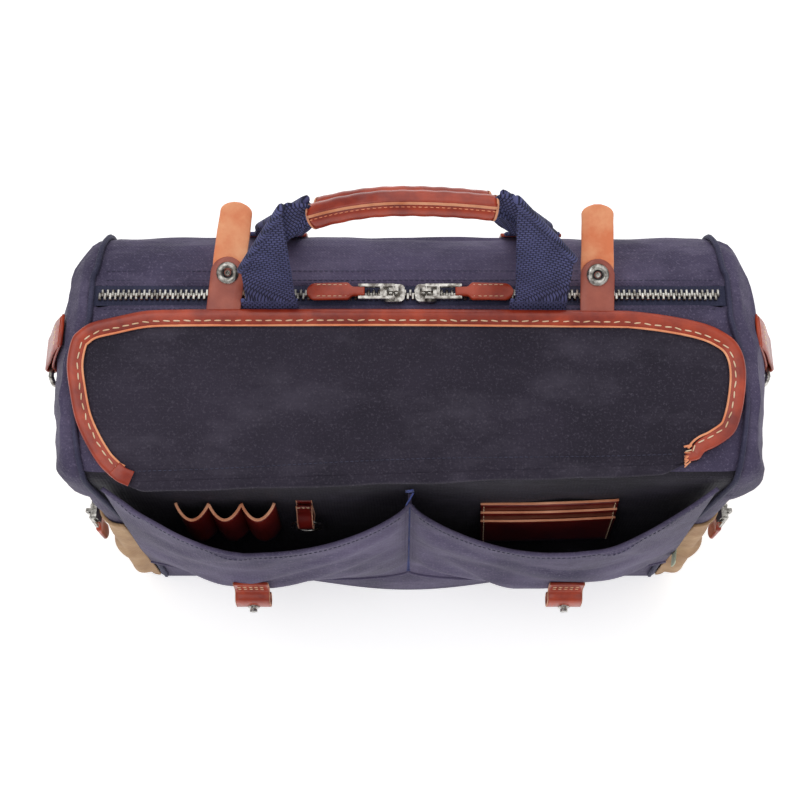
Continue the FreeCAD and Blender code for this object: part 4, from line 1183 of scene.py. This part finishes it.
def handle_anchors():
    """The sewn ends of the webbing, and the leather patches over the rear ones."""
    low, _ = mm_box("front_handle_anchors")
    swing = joint_place("front_handle_swing")
    for n, (side, sign) in enumerate(SIDES.items()):
        x = HANDLE_X + sign * LEG_X
        line = curve_points([(x, low.y + 2, low.z + 3), (x, -6, TOP_Z - 4.4), (x, 9, TOP_Z + 1.2),
                             (x, swing.y - 2.0, TOP_Z + 3.6), (x, swing.y, swing.z - 3),
                             (x, swing.y, swing.z + 0.6)], 40)
        frames = ribbon(line, (1, 0, 0))
        mesh_piece(
            "front_webbing_end_" + side, sweep(frames, WEB_SECTION), "bag",
            WEBBING, ["front_handle_anchors"] if n == 0 else ())
    low, _ = mm_box("rear_handle_patches")
    swing = joint_place("rear_handle_swing")
    for n, (side, sign) in enumerate(SIDES.items()):
        x = HANDLE_X + sign * LEG_X

        def patch(u, z):
            round_off = 3.0 * (1 - math.cos(math.pi / 2 * max(0.0, abs(u) - 0.85) / 0.15))
            y = along(BACK_LINE, z) + 2.6 + wrinkle((x + u * 30, z, 0), 30, 0.5)
            return (x + 21 * u, y, z + (round_off if z < 250 else 0))
        piece = mesh_piece(
            "rear_leather_patch_" + side, grid(patch, steps(-1, 1, 20), steps(low.z, 283, 24)), "bag",
            TAN, ["rear_handle_patches"] if n == 0 else ())
        thicken(piece, 2.0, offset=0)
        border = [(x - 18, z) for z in steps(280, low.z + 3.5, 14)]
        border += [(v, low.z + 3.5) for v in steps(x - 16, x + 16, 10)]
        border += [(x + 18, z) for z in steps(low.z + 3.5, 280, 14)]
        line = [Vector((v, along(BACK_LINE, z) + 3.9, z)) for v, z in border]
        stitch_row("rear_patch_stitches_" + side, line, (0, 1, 0.1), "bag", CREAM,
                   pitch=4.4, length=3.0, thick=0.75)
        line = curve_points([(x, along(BACK_LINE, 270) + 2.4, 268), (x, along(BACK_LINE, 280) + 2.6, 280),
                             (x, swing.y + 0.6, swing.z - 2), (x, swing.y, swing.z + 0.8)], 24)
        frames = ribbon(line, (1, 0, 0))
        mesh_piece(
            "rear_webbing_end_" + side, sweep(frames, WEB_SECTION), "bag",
            WEBBING)


# ---------------------------------------------------------------- shoulder strap rings
def ring_loops():
    """The leather loops that hold the two D-rings."""
    for side, sign in SIDES.items():
        low, high = mm_box("d_ring_loop_" + side)
        pivot = joint_place("d_ring_swing_" + side)
        y = (low.y + high.y) / 2

        def off_end(z, gap, at=None):
            """A point gap millimetres off the end's cloth as it is at z, moved to the height at if given."""
            return (sign * (along(END_WIDTHS, z) + gap), y, z if at is None else at)

        def round_bar(out, up):
            return (pivot.x + sign * out, y, pivot.z + up)
        line = curve_points(
            [off_end(high.z, 0.8, high.z + 1.0), off_end(268, 1.8), off_end(250, 1.6), round_bar(-2.2, 2.6),
             round_bar(-3.0, -1.2), round_bar(0, -3.6), round_bar(3.3, -0.6), round_bar(2.6, 4.0),
             off_end(252, 4.4, 253), off_end(270, 3.8, 271), off_end(high.z, 2.6, high.z - 2.0)], 90)
        frames = ribbon(line, (0, 1, 0))
        mesh_piece(
            "ring_loop_leather_" + side, sweep(frames, strip_section(23, 1.9, -0.95, 0.6)),
            "bag", TAN, ["d_ring_loop_" + side])
        for n, z in enumerate((high.z - 6, 262.0)):
            x = sign * (along(END_WIDTHS, z) + 5.2)
            row = [(x, y - 9 + 18 * t, z) for t in steps(0, 1, 6)]
            stitch_row(f"ring_loop_stitches_{side}_{n}", row, (sign, 0, 0.3), "bag", CREAM,
                       pitch=4.0, length=2.7, thick=0.7)


# ---------------------------------------------------------------- end pockets
def end_pocket(side):
    """The tan pouch round an end, with its zip, and soft creases where it bags out."""
    sign = SIDES[side]
    low, high = mm_box("side_pocket_" + side)
    back, floor, top = high.y, low.z, high.z
    turn = 0.28

    def pouch(u, z):
        """u runs from the corded seam at the front round the corner to the back of the pouch."""
        half, seam, wall = along(END_WIDTHS, z), along(FRONT_SEAM, z) + 3.5, along(FRONT_LINE, z)
        ease = smooth((z - floor) / 22) * (0.1 + 0.9 * smooth((top - z - 8) / 30))
        full = 1.2 + 6.2 * ease * smooth(u / 0.12) * smooth((1 - u) / 0.1)
        if u < turn:
            a = math.pi / 2 * (u / turn)
            x = seam + (half - seam) * math.sin(a) ** 0.85
            y = wall + 14.0 * (1 - math.cos(a))
            out = Vector((math.sin(a), -math.cos(a), 0))
        else:
            x, y = half, lerp(wall + 14.0, back, (u - turn) / (1 - turn))
            out = Vector((1, 0, 0))
        crease = wrinkle((u * 120, z * 0.8 + u * 60, 3), 30, 2.8) + wrinkle((u * 60, z * 1.4, 8), 15, 0.8)
        under_tab = math.exp(-((y + 74) / 16) ** 2) * smooth((z - 78) / 18)
        full -= full * 0.8 * under_tab
        crease *= (1 - under_tab) * smooth((z - floor) / 16) * smooth(u / 0.08) * smooth((1 - u) / 0.08)
        crease *= smooth((top - z - 6) / 24)
        spot = Vector((x, y, z)) + out * max(full + crease, 0.8)
        return (sign * spot.x, spot.y, z)
    piece = mesh_piece(
        "end_pocket_twill_" + side, grid(pouch, steps(0, 1, 70), steps(floor, top, 50)), "bag",
        TWILL, ["side_pocket_" + side])
    thicken(piece, 1.6, offset=0)
    for name, z in (("top", top), ("bottom", floor)):
        line = [pouch(u, z) for u in steps(0.0, 1, 60)]
        mesh_piece(
            f"end_pocket_{name}_seam_{side}",
            sweep(framed(line, (0, 0, 1)), ring_section(1.4, 1.2, 8)), "bag", TWILL)
    tape_low, tape_high = mm_box("side_zip_tape_" + side)
    teeth_low, teeth_high = mm_box("side_zip_teeth_" + side)
    lean = math.atan2(tape_high.x - tape_low.x - 1.0, tape_high.z - tape_low.z)
    out = Vector((sign * math.cos(lean), 0, -math.sin(lean)))
    over = Vector((sign * math.sin(lean), 0, math.cos(lean)))
    face_x = (tape_low.x + tape_high.x) / 2 + sign * 0.6
    z = (tape_low.z + tape_high.z) / 2
    tape_piece("end_zip_woven_tape_" + side, "side_zip_tape_" + side, (face_x, tape_low.y, z), (0, 1, 0),
               over, out, tape_high.y - tape_low.y, 7.2)
    teeth_row("end_zip_chain_" + side, "side_zip_teeth_" + side, Vector((face_x, teeth_low.y, z)) + out * 0.3,
              (0, 1, 0), over, out, teeth_high.y - teeth_low.y)


# ---------------------------------------------------------------- sliders, pulls and tabs
def zip_hardware(group):
    """The metal keeps its CAD shape; each leather tab gets a folded, tapered blade."""
    for side, sign in SIDES.items():
        for part in ("slider", "pull"):
            repaint(f"{group}_{part}_{side}", NICKEL)
        name = f"{group}_pull_tab_{side}"
        low, high = mm_box(name)
        place = joint_place(("main_tab_fold_" if group == "main" else "side_tab_swing_") + side)
        if group == "main":
            ahead, up = Vector((sign, 0, 0)), Vector((0, 0, 1))
            reach = max(abs(high.x - place.x), abs(low.x - place.x))
        else:
            ahead, up = Vector((0, 0, -1)), Vector((sign, 0, 0))
            reach = place.z - low.z

        def section(i):
            d = lerp(-2.6, reach, i / 40)
            w = 6.4 if d < 5 else lerp(6.4, 12.5, smooth((d - 5) / 4))
            w *= rounded_end(reach - d, 6, 0.06)
            thick = 3.8 if d < 8 else lerp(3.8, 2.8, smooth((d - 8) / 10))
            return strip_section(w, thick, -thick / 2, 0.9)
        line = [place + ahead * d + up * (0.5 * math.sin(max(d, 0) / 9)) for d in steps(-2.6, reach, 40)]
        mesh_piece(
            f"{group}_tab_leather_{side}", sweep(framed(line, up), section), name, TAN,
            [name])
        row = [place + ahead * d + up * 2.0 for d in steps(8, reach - 5, 14)]
        for n, shift in enumerate((-4.2, 4.2)):
            shifted = [p + ahead.cross(up) * shift for p in row]
            stitch_row(f"{group}_tab_stitches_{side}_{n}", shifted, up, name, CREAM,
                       pitch=3.6, length=2.4, thick=0.5)


def small_parts():
    for node in ("key_ring", "snap_stud_left", "snap_stud_right", "d_ring_left", "d_ring_right"):
        repaint(node, NICKEL)
        for polygon in frame["nodes"][node].data.polygons:
            polygon.use_smooth = True
    low, high = mm_box("seam_label")
    x = (low.x + high.x) / 2

    def label(y, z):
        return (x + 0.8 * math.sin((z - low.z) / 5) + 0.15 * (y - high.y), y, z)
    thicken(mesh_piece(
        "blank_woven_label", grid(label, steps(low.y, high.y, 10), steps(low.z, high.z, 16)), "bag",
        LABEL, ["seam_label"]), 0.9, offset=0)


# ---------------------------------------------------------------- camera, floor and light
CAMERA_PLACE, CAMERA_TILT, CAMERA_LENS = (-6.7, -377.0, 1115.0), 68, 60.75  # mm, degrees below level, mm
FLOOR_REACH = 40.0  # metres each way
LAMPS = (  # name, place and size in metres, power
    ("key_light", (-0.9, -0.5, 1.9), 1.6, 8.5), ("fill_light", (1.3, -0.9, 1.6), 1.6, 5),
    ("back_light", (0.2, 1.5, 1.6), 1.8, 9), ("top_light", (0.0, 0.2, 2.4), 2.0, 9),
)


def studio():
    camera = bpy.data.objects.new("camera", bpy.data.cameras.new("camera"))
    bpy.context.collection.objects.link(camera)
    camera.location = Vector(CAMERA_PLACE) * MM
    camera.rotation_euler = (math.radians(90 - CAMERA_TILT), 0, 0)
    camera.data.lens, camera.data.sensor_width = CAMERA_LENS, 36.0
    camera.data.clip_start = 0.01
    bpy.context.scene.camera = camera
    mesh = bpy.data.meshes.new("floor")
    corners = [(x * FLOOR_REACH, y * FLOOR_REACH, 0) for x, y in ((-1, -1), (1, -1), (1, 1), (-1, 1))]
    mesh.from_pydata(corners, [], [(0, 1, 2, 3)])
    floor = bpy.data.objects.new("floor", mesh)
    bpy.context.collection.objects.link(floor)
    material, _, shader = nodes_of("pale_floor", (0.93, 0.93, 0.93), 0.9)
    shader.inputs["Emission Color"].default_value = (1, 1, 1, 1)
    shader.inputs["Emission Strength"].default_value = 0.5
    mesh.materials.append(material)
    for name, place, size, power in LAMPS:
        light = bpy.data.lights.new(name, "AREA")
        light.energy, light.size = power, size
        lamp = bpy.data.objects.new(name, light)
        lamp.location = place
        lamp.rotation_euler = (Vector((0, 0, 0.2)) - Vector(place)).to_track_quat("-Z", "Y").to_euler()
        bpy.context.collection.objects.link(lamp)
    world = bpy.data.worlds.new("studio")
    world.use_nodes = True
    world.node_tree.nodes["Background"].inputs["Color"].default_value = (1, 1, 1, 1)
    world.node_tree.nodes["Background"].inputs["Strength"].default_value = 0.4
    bpy.context.scene.world = world
    bpy.context.scene.view_settings.view_transform = "Standard"


# ---------------------------------------------------------------- everything
body_shell()
shoulder_piping()
hidden_parts()
main_zip()
pocket_panel()
pen_loops()
card_holder()
key_leash()
stud_tabs()
flap_panel()
flap_root()
flap_binding()
closing_straps()
handle("front")
handle("rear")
handle_anchors()
ring_loops()
for pocket_side in SIDES:
    end_pocket(pocket_side)
zip_hardware("main")
zip_hardware("side")
small_parts()
studio()
